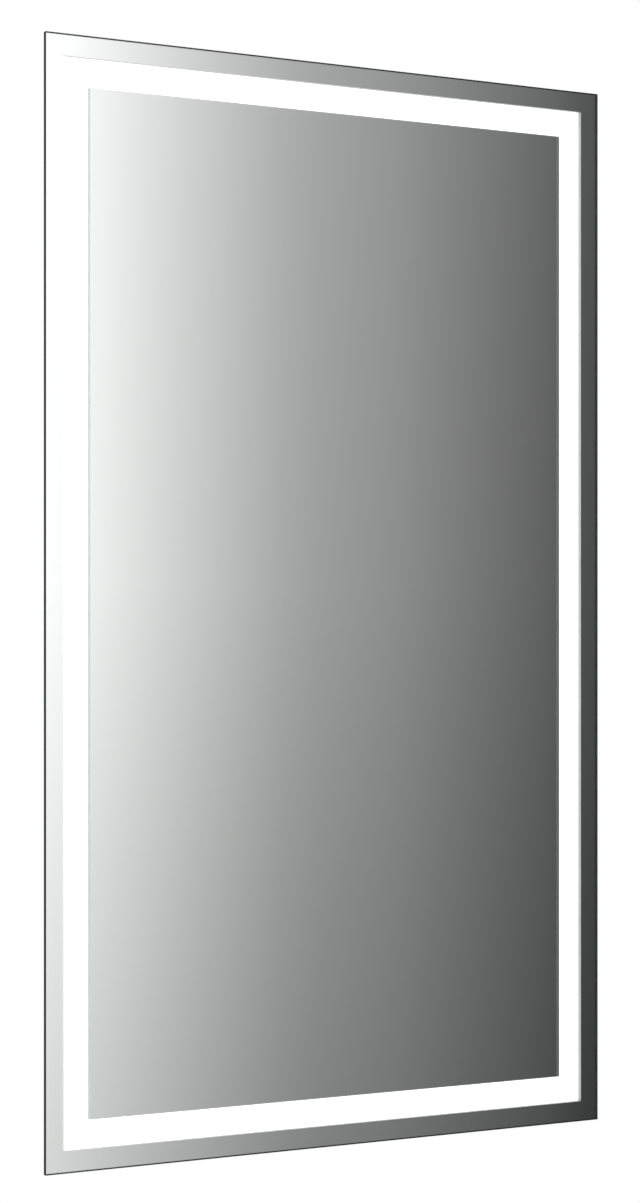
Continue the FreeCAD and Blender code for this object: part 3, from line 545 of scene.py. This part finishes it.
# ---------------------------------------------------------------- driver
# A moulded white case with a flat lid, screwed to the back panel from behind. Inside are a green board
# with a coil, two capacitors and a heat plate, and a connector at each end.

moulded_white, tree, shader, place = new_finish("moulded_white")
spark = add_node(tree, "ShaderNodeTexVoronoi", {"Vector": place, "Scale": 1400}).outputs["Distance"]
mottle(tree, shader, grain(tree, place, 14, 4), (0.76, 0.76, 0.74), (0.81, 0.81, 0.795))
set_roughness(tree, shader, spark, 0.38, 0.52, 0.1, 0.6)
set_relief(tree, shader, spark, 0.03 * mm)
moulded_edge = 0.4 * mm
case_detail = 4 * mm
for node in ("driver_case", "driver_lid"):
    piece = work_over(node, f"{node}_moulding")
    ease_edges(piece, moulded_edge, case_detail)
    hand_over(piece, moulded_white, "mirror", "white_plastic", node)

board_green, tree, shader, place = new_finish("board_green")
board_tracks = {"Scale": 130, "Brick Width": 1.3, "Row Height": 0.24, "Mortar Size": 0.05}
lacquers = ((0.012, 0.12, 0.045), (0.018, 0.15, 0.055), (0.045, 0.24, 0.09))
tracks = lay_tracks(tree, place, board_tracks, *lacquers, offset=0.37, offset_frequency=3)
set_colour(tree, shader, tracks["Color"])
set_roughness(tree, shader, grain(tree, place, 500), 0.25, 0.4)
set_relief(tree, shader, tracks["Fac"], 0.03 * mm)
finish_nodes(board_green, "driver_board")

connector_green, tree, shader, place = new_finish("connector_green")
mottle(tree, shader, grain(tree, place, 120, 4), (0.02, 0.23, 0.07), (0.03, 0.28, 0.09))
set_roughness(tree, shader, grain(tree, place, 900), 0.35, 0.5)
connector_edge = 0.3 * mm
connectors = work_over("driver_connectors", "driver_connector_blocks")
ease_edges(connectors, connector_edge, case_detail)
hand_over(connectors, connector_green, "mirror", "connector_plastic", "driver_connectors")


def solids_of(node):
    """The lowest and highest corner of each separate solid in a node, in order from left to right."""
    work_over(node, f"{node}_copy")
    edit_whole()
    bpy.ops.mesh.separate(type="LOOSE")
    bpy.ops.object.mode_set(mode="OBJECT")
    corners = []
    for solid in bpy.context.selected_objects:
        points = [corner.co for corner in solid.data.vertices]
        low = Vector(min(point[i] for point in points) for i in range(3))
        high = Vector(max(point[i] for point in points) for i in range(3))
        corners.append((low, high))
    bpy.ops.object.delete()
    return sorted(corners, key=lambda box: (round(box[0].x, 4), box[0].z))


def middles(boxes):
    """The middle of each box, given by its lowest and highest corner."""
    return [(low + high) / 2 for low, high in boxes]


def turn_on_lathe(name, x, z, rings, around=28, bored=False):
    """A round piece on an axis along Y, drawn out ring by ring from (radius, y). A bored one is closed
    from its last ring to its first."""
    pick_none()
    radius, y = rings[0]
    bpy.ops.mesh.primitive_circle_add(
        vertices=around,
        radius=radius,
        fill_type="NOTHING" if bored else "NGON",
        location=(x, y, z),
        rotation=(math.pi / 2, 0, 0),
    )
    piece = settle(name)
    edit_whole()
    for next_radius, next_y in rings[1:] + rings[:1] * bored:
        bpy.ops.mesh.extrude_region_move(TRANSFORM_OT_translate={"value": (0, next_y - y, 0)})
        widen = next_radius / radius
        bpy.ops.transform.resize(value=(widen, 1, widen), center_override=(x, next_y, z))
        radius, y = next_radius, next_y
    bpy.ops.mesh.select_all(action="SELECT")
    bpy.ops.mesh.remove_doubles(threshold=same_place)
    bpy.ops.mesh.normals_make_consistent(inside=False)
    bpy.ops.object.mode_set(mode="OBJECT")
    return piece


shortest_edge = 0.002 * mm  # an edge that a rounding leaves shorter than this is closed up


def round_edges(piece, width, segments=3, seen=crease):
    """Rounds every sharp edge, and shades the piece smoothly but for the edges that are to be seen."""
    take_up(piece)
    bpy.ops.object.modifier_add(type="BEVEL")
    rounding = piece.modifiers[-1]
    rounding.width = width
    rounding.segments = segments
    rounding.limit_method = "ANGLE"
    rounding.angle_limit = sharp_turn
    bpy.ops.object.modifier_apply(modifier=rounding.name)
    edit_whole()
    bpy.ops.mesh.dissolve_degenerate(threshold=shortest_edge)
    bpy.ops.object.mode_set(mode="OBJECT")
    bpy.ops.object.shade_smooth_by_angle(angle=seen)


def cut_out(piece, tool):
    """Cuts the shape of the tool out of the piece and puts the tool away."""
    take_up(piece)
    bpy.ops.object.modifier_add(type="BOOLEAN")
    cut = piece.modifiers[-1]
    cut.operation = "DIFFERENCE"
    cut.solver = "EXACT"
    cut.object = tool
    bpy.ops.object.modifier_apply(modifier=cut.name)
    bpy.data.objects.remove(tool)


def repeat_at(piece, start, places, turn=0.0):
    """Copies a finished piece from its start to the other places, each turned a little further about its
    own axis, and joins them into one group."""
    group = [piece]
    for count, place in enumerate(places, start=1):
        take_up(piece)
        bpy.ops.object.duplicate()
        bpy.ops.transform.translate(value=place - start)
        bpy.ops.object.transform_apply(location=True, rotation=True, scale=True)
        edit_whole()
        bpy.ops.transform.rotate(value=turn * count, orient_axis="Y", center_override=place)
        bpy.ops.object.mode_set(mode="OBJECT")
        group.append(bpy.context.object)
    pick_none()
    for copy in group:
        copy.select_set(True)
    bpy.context.view_layer.objects.active = piece
    bpy.ops.object.join()


def runs_along(edge, axis):
    """Whether an edge runs along X, Y or Z, given as 0, 1 or 2."""
    start, end = edge.verts
    return abs((end.co - start.co).normalized()[axis]) > 0.9


ferrite, tree, shader, place = new_finish("ferrite")
fired = grain(tree, place, 900, 4)
mottle(tree, shader, fired, (0.045, 0.045, 0.048), (0.085, 0.083, 0.08))
set_roughness(tree, shader, fired, 0.5, 0.7)
set_relief(tree, shader, fired, 0.05 * mm)

coil_tape, tree, shader, place = new_finish("coil_tape")
laps = grain(tree, place, 700, 2, (1, 0.05, 0.05))
mottle(tree, shader, laps, (0.62, 0.36, 0.03), (0.78, 0.52, 0.06), 0.35, 0.65)
set_roughness(tree, shader, laps, 0.2, 0.34)
set_relief(tree, shader, laps, 0.08 * mm)

core_leg = 4.0 * mm
core_margin = 2.2 * mm  # the winding stands this much above the core on both sides
core_edge = 0.35 * mm
winding_gap = 0.8 * mm  # between the winding and the core's long sides
winding_corner = 2.4 * mm
bobbin_flange = 1.0 * mm
flange_edge = 0.3 * mm
past = 1.0 * mm  # how far a cutting tool reaches past the surface
lathe_crease = math.radians(35)  # for round pieces, whose flats are coarser
heat_box, coil_box, *can_boxes = solids_of("driver_parts")
low, high = coil_box
window_start = Vector((core_leg, -past, core_leg))
lift = Vector((0, core_margin, 0))
core = start_block("coil_core", low + lift, high - lift)
cut_out(core, start_block("window", low + window_start, high - window_start))
round_edges(core, core_edge, segments=2)
hand_over(core, ferrite, "mirror", "board_part", "driver_parts")

clear = Vector((core_leg + bobbin_flange, 0, core_leg + winding_gap))
winding = start_block("coil_winding", low + clear, high - clear)
bpy.ops.object.mode_set(mode="EDIT")
pick("EDGE", lambda edge: runs_along(edge, 0))
bpy.ops.mesh.bevel(offset=winding_corner, segments=6)
bpy.ops.object.mode_set(mode="OBJECT")
bpy.ops.object.shade_smooth_by_angle(angle=lathe_crease)
hand_over(winding, coil_tape, "mirror", "board_part", "driver_parts")

flange_drop = Vector((0, 0.4 * mm, 0))  # the flanges end this far below the winding
for end, start_x in (("left", low.x + core_leg), ("right", high.x - core_leg - bobbin_flange)):
    near = Vector((start_x, low.y, low.z + core_leg)) + flange_drop
    far = Vector((start_x + bobbin_flange, high.y, high.z - core_leg))
    flange = start_block(f"coil_flange_{end}", near, far)
    round_edges(flange, flange_edge)
    hand_over(flange, ferrite, "mirror", "board_part", "driver_parts")

can_sleeve, tree, shader, place = new_finish("can_sleeve")
shrink = grain(tree, place, 420, 3, (0.2, 1, 1))
mottle(tree, shader, shrink, (0.012, 0.016, 0.035), (0.03, 0.035, 0.06), 0.35, 0.7)
set_roughness(tree, shader, shrink, 0.25, 0.42)
set_relief(tree, shader, shrink, 0.03 * mm)

can_metal, tree, shader, place = new_finish("can_metal")
spun = grain(tree, place, 1300, 3)
mottle(tree, shader, spun, (0.58, 0.585, 0.59), (0.7, 0.7, 0.7))
set_roughness(tree, shader, spun, 0.28, 0.42)
set_gloss(shader, Metallic=1.0)

can_places = middles(can_boxes)
low, high = can_boxes[0]
first = can_places[0]
half_can = (high.x - low.x) / 2
can_radius = (high.z - low.z) / 2
foot_y, top_y = first.y - half_can, first.y + half_can
can_rings = [
    (0.45 * can_radius, foot_y + 0.7 * mm),
    (0.72 * can_radius, foot_y + 0.6 * mm),
    (0.80 * can_radius, foot_y),
    (0.94 * can_radius, foot_y + 0.1 * mm),
    (can_radius, foot_y + 0.7 * mm),
    (can_radius, foot_y + 2.0 * mm),
    (0.90 * can_radius, foot_y + 2.5 * mm),
    (0.90 * can_radius, foot_y + 2.9 * mm),
    (can_radius, foot_y + 3.4 * mm),
    (can_radius, top_y - 0.8 * mm),
    (0.97 * can_radius, top_y - 0.2 * mm),
    (0.90 * can_radius, top_y),
    (0.82 * can_radius, top_y),
    (0.80 * can_radius, top_y - 0.3 * mm),
]
cans = turn_on_lathe("filter_cans", first.x, first.z, can_rings, around=40)
edit_whole()
bpy.ops.transform.rotate(value=math.pi / 2, orient_axis="Z", center_override=first)
bpy.ops.object.mode_set(mode="OBJECT")
bpy.ops.object.shade_smooth_by_angle(angle=lathe_crease)
repeat_at(cans, first, can_places[1:])
cans.data.materials.append(can_sleeve)
cans.data.materials.append(can_metal)
for face in cans.data.polygons:
    from_axis = min((face.center - middle).yz.length for middle in can_places)
    face.material_index = 1 if from_axis < 0.7 * can_radius else 0
hand_over(cans, can_sleeve, "mirror", "board_part", "driver_parts")

plate_edge = 0.5 * mm
heat_plate = start_block("heat_plate", *heat_box)
round_edges(heat_plate, plate_edge)
hand_over(heat_plate, can_metal, "mirror", "board_part", "driver_parts")

head_radius = 3.0 * mm
head_height = 1.9 * mm
head_rim = 0.55 * mm
head_break = 0.2 * mm  # taken off the edge under the head
dome_arc = math.radians(72)
dome_steps = 4
thread_crest = 1.45 * mm
thread_root = 1.1 * mm
thread_pitch = 0.9 * mm
screw_point = 0.3 * mm
point_length = 0.8 * mm
neck_length = 0.8 * mm  # without thread, under the head
recess_half_length = 1.6 * mm
recess_half_width = 0.42 * mm
recess_depth = 1.05 * mm
recess_floor = 0.6  # its width, as a share of the mouth's
screw_turn = math.radians(47)  # each screw stops at its own angle


def cut_cross(screw, x, head_y, z):
    """Cuts a cross recess that narrows towards its floor."""
    for half_x, half_z in ((recess_half_length, recess_half_width), (recess_half_width, recess_half_length)):
        floor_corner = (x - half_x, head_y - recess_depth, z - half_z)
        arm = start_block("arm", floor_corner, (x + half_x, head_y + head_rim, z + half_z))
        bpy.ops.object.mode_set(mode="EDIT")
        pick("FACE", lambda face: face.normal.y < -0.9)
        bpy.ops.transform.resize(value=(recess_floor, 1, recess_floor), center_override=(x, head_y, z))
        bpy.ops.object.mode_set(mode="OBJECT")
        cut_out(screw, arm)


def sheet_screws(node):
    """Pan-head sheet screws in every place of the node: thread, domed head and cross recess."""
    boxes = solids_of(node)
    places = middles(boxes)
    tip_y, head_y = boxes[0][0].y, boxes[0][1].y
    seat_y = head_y - head_height
    rings = [(screw_point, tip_y), (thread_root, tip_y + point_length)]
    for turn in range(int((seat_y - tip_y - point_length - neck_length) / thread_pitch)):
        root_y = rings[-1][1]
        rings.append((thread_crest, root_y + thread_pitch / 2))
        rings.append((thread_root, root_y + thread_pitch))
    rings += [(thread_root, seat_y), (head_radius - head_break, seat_y), (head_radius, seat_y + head_break)]
    for step in range(dome_steps + 1):
        lean = dome_arc * step / dome_steps
        rise = (head_height - head_rim) * math.sin(lean) / math.sin(dome_arc)
        rings.append((head_radius * math.cos(lean), seat_y + head_rim + rise))
    first = places[0]
    screw = turn_on_lathe(node.replace("screws", "sheet_screws"), first.x, first.z, rings, around=24)
    cut_cross(screw, first.x, head_y, first.z)
    take_up(screw)
    bpy.ops.object.shade_smooth_by_angle(angle=lathe_crease)
    repeat_at(screw, first, places[1:], screw_turn)
    hand_over(screw, bright_screw, "mirror", "bright_screw", node)


sheet_screws("driver_screws")

# ---------------------------------------------------------------- wiring box, terminals and earth
# A folded box of zinc-plated steel inside the panel's opening. It holds the terminal block for the house
# cable, and the earth lug under its brass screw.

box_edge = 0.25 * mm
box_detail = 5 * mm
box = work_over("wiring_box", "wiring_box_folded")
ease_edges(box, box_edge, box_detail)
hand_over(box, zinc_plate, "mirror", "zinc_steel", "wiring_box")

block_detail = 6 * mm
block = work_over("terminal_block", "terminal_block_moulding")
ease_edges(block, moulded_edge, block_detail)
hand_over(block, moulded_white, "mirror", "white_plastic", "terminal_block")

brass, tree, shader, place = new_finish("brass")
brushed = grain(tree, place, 1800, 3)
tarnish = grain(tree, place, 260, 4)
mottle(tree, shader, tarnish, (0.72, 0.52, 0.22), (0.45, 0.30, 0.13), 0.35, 0.75)
set_roughness(tree, shader, brushed, 0.25, 0.42)
set_gloss(shader, Metallic=1.0)
finish_nodes(brass, "terminal_screws", "earth_lug", "earth_screw")
sheet_screws("wiring_box_screws")

# ---------------------------------------------------------------- wires
# Brown and blue mains wires from the terminal block to the driver, the striped earth wire, and the pair
# that feeds the light strips under its clip.

finish_nodes(insulate("live_insulation", (0.16, 0.062, 0.025)), "live_wire")
finish_nodes(insulate("neutral_insulation", (0.02, 0.12, 0.42)), "neutral_wire")
finish_nodes(insulate("earth_insulation", (0.03, 0.28, 0.06), stripe=(0.85, 0.66, 0.03)), "earth_wire")
finish_nodes(insulate("feed_plus_insulation", (0.50, 0.018, 0.015)), "feed_wire_plus")
finish_nodes(insulate("feed_minus_insulation", (0.018, 0.018, 0.02)), "feed_wire_minus")

clip_edge = 0.3 * mm
clip_detail = 3 * mm
clip = work_over("wire_clip", "wire_clip_moulding")
ease_edges(clip, clip_edge, clip_detail)
hand_over(clip, moulded_white, "mirror", "white_plastic", "wire_clip")

# ---------------------------------------------------------------- back panel
# One sheet of 1 mm steel, powder-coated pale grey, punched with two rows of vents and the opening to the
# wiring box, and screwed to the frame's back flanges all round.

powder_coat, tree, shader, place = new_finish("powder_coat")
peel = grain(tree, place, 520, 2)
speck = grain(tree, place, 2600, 2)
cloud = fade(tree, grain(tree, place, 5, 4), 0.3, 0.7)
coat = two_tones(tree, cloud, (0.572, 0.58, 0.585), (0.592, 0.598, 0.603))
mottle(tree, shader, speck, coat, (0.47, 0.48, 0.49), 0.62, 0.72)
set_roughness(tree, shader, peel, 0.46, 0.6)
set_relief(tree, shader, peel, 0.06 * mm)
coated_edge = 0.2 * mm
panel_detail = 20 * mm
panel = work_over("back_panel", "back_panel_sheet")
ease_edges(panel, coated_edge, panel_detail)
hand_over(panel, powder_coat, "mirror", "painted_steel", "back_panel")
sheet_screws("back_panel_screws")

# ---------------------------------------------------------------- hook rail and its rivets
# A strip of zinc-plated steel folded into a hook that drops over the wall rail, held to the back panel by
# five aluminium blind rivets.

sheet = 1.5 * mm
fold_radius = 1.1 * mm  # at the middle of the sheet
rail_corner = 3.0 * mm
sheared_edge = 0.18 * mm
nearness = 0.01 * mm


def lies_on(corner, places):
    """Whether a corner is at one of these (y, z) places."""
    return any(abs(corner.co.y - y) + abs(corner.co.z - z) < nearness for y, z in places)


def folds_at(edge, places):
    """Whether an edge runs along X at one of these (y, z) places."""
    return runs_along(edge, 0) and lies_on(edge.verts[0], places)


def fold_strip(name, path, half_length):
    """A folded strip: the middle of its sheet follows the (y, z) path, and it runs along X. Its folds and
    its free corners are rounded."""
    pick_none()
    start_y, start_z = path[0]
    next_z = path[1][1]
    middle = (0, start_y, (start_z + next_z) / 2)
    bpy.ops.mesh.primitive_plane_add(size=1, location=middle, rotation=(math.pi / 2, 0, 0))
    bpy.ops.transform.resize(value=(2 * half_length, 1, abs(next_z - start_z)), center_override=middle)
    strip = settle(name)
    bpy.ops.object.mode_set(mode="EDIT")
    for (y, z), (next_y, next_z) in zip(path[1:], path[2:]):
        pick("EDGE", lambda edge: folds_at(edge, [(y, z)]))
        bpy.ops.mesh.extrude_region_move(TRANSFORM_OT_translate={"value": (0, next_y - y, next_z - z)})
    pick("EDGE", lambda edge: folds_at(edge, path[1:-1]))
    bpy.ops.mesh.bevel(offset=fold_radius, segments=5)
    pick("VERT", lambda corner: lies_on(corner, [path[0], path[-1]]))
    bpy.ops.mesh.bevel(offset=rail_corner, segments=5, affect="VERTICES")
    bpy.ops.object.mode_set(mode="OBJECT")
    bpy.ops.object.modifier_add(type="SOLIDIFY")
    wall = strip.modifiers[-1]
    wall.thickness = sheet
    wall.offset = 0
    wall.use_even_offset = True
    bpy.ops.object.modifier_apply(modifier=wall.name)
    edit_whole()
    bpy.ops.mesh.normals_make_consistent(inside=False)
    bpy.ops.object.mode_set(mode="OBJECT")
    return strip


def drill(piece, places, radius, low_y, high_y):
    """Drills a hole along Y at each place, through what lies between the two depths."""
    for place in places:
        pick_none()
        bpy.ops.mesh.primitive_cylinder_add(
            vertices=38,
            radius=radius,
            depth=high_y - low_y + 2 * past,
            location=(place.x, (low_y + high_y) / 2, place.z),
            rotation=(math.pi / 2, 0, 0),
        )
        cut_out(piece, settle("drill"))


low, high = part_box("hook_rail")
rivet_boxes = solids_of("hook_rail_rivets")
rivet_places = middles(rivet_boxes)
wall_low, wall_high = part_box("wall_rail")
hook_y, base_y = high.y - sheet / 2, low.y + sheet / 2
hook_web_z = wall_high.z + sheet / 2  # the hook's web rests on the wall rail's upstand
hook_path = [(hook_y, low.z), (hook_y, hook_web_z), (base_y, hook_web_z), (base_y, high.z)]
hook_rail = fold_strip("hook_rail_folded", hook_path, high.x)
rivet_hole = 2.1 * mm
drill(hook_rail, rivet_places, rivet_hole, low.y, low.y + sheet)
round_edges(hook_rail, sheared_edge, segments=2)
hand_over(hook_rail, zinc_plate, "mirror", "zinc_steel", "hook_rail")

rivet_aluminium, tree, shader, place = new_finish("rivet_aluminium")
brushed = grain(tree, place, 1500, 3)
mottle(tree, shader, brushed, (0.62, 0.625, 0.63), (0.72, 0.72, 0.715))
set_roughness(tree, shader, brushed, 0.3, 0.44)
set_gloss(shader, Metallic=1.0)

tail_y, head_y = rivet_boxes[0][0].y, rivet_boxes[0][1].y
rivet_shank = 2.0 * mm
rivet_tail = 3.0 * mm
tail_height = 1.5 * mm
rivet_head = 3.8 * mm
dome_height = 1.2 * mm
mandrel = 1.0 * mm
rivet_crease = math.radians(40)
dome_y = head_y - dome_height
rivet_rings = [
    (rivet_tail * 0.45, tail_y),
    (rivet_tail * 0.9, tail_y + tail_height * 0.2),
    (rivet_tail, tail_y + tail_height * 0.55),
    (rivet_tail * 0.85, tail_y + tail_height),
    (rivet_shank, tail_y + tail_height),
    (rivet_shank, dome_y),
    (rivet_head * 0.97, dome_y),
    (rivet_head, dome_y + dome_height * 0.12),
    (rivet_head * 0.93, dome_y + dome_height * 0.45),
    (rivet_head * 0.75, dome_y + dome_height * 0.78),
    (rivet_head * 0.52, dome_y + dome_height * 0.96),
    (mandrel * 1.35, head_y),
    (mandrel * 1.15, head_y - dome_height * 0.12),
    (mandrel * 1.05, head_y - dome_height * 0.6),
    (mandrel, head_y - dome_height * 0.6),
    (mandrel * 0.85, head_y - dome_height * 0.45),
]
first = rivet_places[0]
rivets = turn_on_lathe("hook_rail_blind_rivets", first.x, first.z, rivet_rings)
take_up(rivets)
bpy.ops.object.shade_smooth_by_angle(angle=rivet_crease)
repeat_at(rivets, first, rivet_places[1:])
hand_over(rivets, rivet_aluminium, "mirror", "rivet_aluminium", "hook_rail_rivets")

# ---------------------------------------------------------------- bumpers
# Two tapered black rubber bumpers, each moulded with a well for the screw that holds it to the back
# panel. They keep the mirror's bottom edge off the wall.

black_rubber, tree, shader, place = new_finish("black_rubber")
bloom = grain(tree, place, 130, 5)
pores = grain(tree, place, 1900, 3)
mottle(tree, shader, bloom, (0.016, 0.016, 0.017), (0.045, 0.045, 0.046), 0.4, 0.75)
set_roughness(tree, shader, bloom, 0.62, 0.8)
set_relief(tree, shader, pores, 0.03 * mm)

bumper_bore = 1.85 * mm
bumper_base = 12.0 * mm
bumper_face = 10.0 * mm
bumper_well = 3.6 * mm
bumper_floor = 2.2 * mm
bumper_edge = 0.55 * mm
rubber_crease = math.radians(30)
for side in ("left", "right"):
    low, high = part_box(f"bumper_{side}")
    middle = (low + high) / 2
    rings = [
        (bumper_bore, low.y),
        (bumper_base, low.y),
        (bumper_face, high.y),
        (bumper_well, high.y),
        (bumper_well, low.y + bumper_floor),
        (bumper_bore, low.y + bumper_floor),
    ]
    bumper = turn_on_lathe(f"bumper_{side}_rubber", middle.x, middle.z, rings, around=48, bored=True)
    round_edges(bumper, bumper_edge, segments=4, seen=rubber_crease)
    hand_over(bumper, black_rubber, "mirror", "black_rubber", f"bumper_{side}")
sheet_screws("bumper_screws")

# ---------------------------------------------------------------- wiring cover and cable grommet
# A powder-coated plate over the panel's opening, held by four screws, with a rubber grommet where the
# house cable comes in.

low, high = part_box("wiring_cover")
screw_places = middles(solids_of("wiring_cover_screws"))
grommet_low, grommet_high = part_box("cable_grommet")
grommet_middle = (grommet_low + grommet_high) / 2
cover_corner = 4.0 * mm
screw_hole = 1.65 * mm
grommet_hole = 8.0 * mm
cover = start_block("wiring_cover_plate", low, high)
bpy.ops.object.mode_set(mode="EDIT")
pick("EDGE", lambda edge: runs_along(edge, 1))
bpy.ops.mesh.bevel(offset=cover_corner, segments=8)
bpy.ops.object.mode_set(mode="OBJECT")
drill(cover, screw_places, screw_hole, low.y, high.y)
drill(cover, [grommet_middle], grommet_hole, low.y, high.y)
round_edges(cover, sheared_edge, segments=2)
hand_over(cover, powder_coat, "mirror", "painted_steel", "wiring_cover")
sheet_screws("wiring_cover_screws")

grommet_bore = 4.5 * mm
grommet_neck = 7.9 * mm
grommet_collar = 10.5 * mm
collar_thickness = 1.6 * mm
grommet_edge = 0.45 * mm
inner_y, outer_y = grommet_low.y, grommet_high.y
rings = [
    (grommet_bore, inner_y),
    (grommet_collar, inner_y),
    (grommet_collar, inner_y + collar_thickness),
    (grommet_neck, inner_y + collar_thickness),
    (grommet_neck, outer_y - collar_thickness),
    (grommet_collar, outer_y - collar_thickness),
    (grommet_collar, outer_y),
    (grommet_bore, outer_y),
]
x, z = grommet_middle.xz
grommet = turn_on_lathe("cable_grommet_rubber", x, z, rings, around=48, bored=True)
round_edges(grommet, grommet_edge, segments=4, seen=rubber_crease)
hand_over(grommet, black_rubber, "mirror", "black_rubber", "cable_grommet")

# ---------------------------------------------------------------- wall rail
# The strip of zinc-plated steel that is screwed to the wall through its base. Its folded upstand carries
# the mirror's hook rail.

base_height = 25.0 * mm
foot_y, upstand_y = wall_high.y - sheet / 2, wall_low.y + sheet / 2
wall_web_z = wall_low.z + base_height - sheet / 2
wall_path = [(foot_y, wall_low.z), (foot_y, wall_web_z), (upstand_y, wall_web_z), (upstand_y, wall_high.z)]
wall_rail = fold_strip("wall_rail_folded", wall_path, wall_high.x)
for mount in frame["record"]["mounts"]:
    if mount["kind"] == "bolt_pattern":
        reach = mount["dims"]["spacing_x_mm"] / 2 * mm
        bolt_hole = mount["dims"]["hole_r_mm"] * mm
        bolt_places = [Vector((side * reach, 0, mount["pos_m"][2])) for side in (-1, 1)]
        drill(wall_rail, bolt_places, bolt_hole, wall_high.y - sheet, wall_high.y)
round_edges(wall_rail, sheared_edge, segments=2)
hand_over(wall_rail, zinc_plate, "wall_bracket", "zinc_steel", "wall_rail")
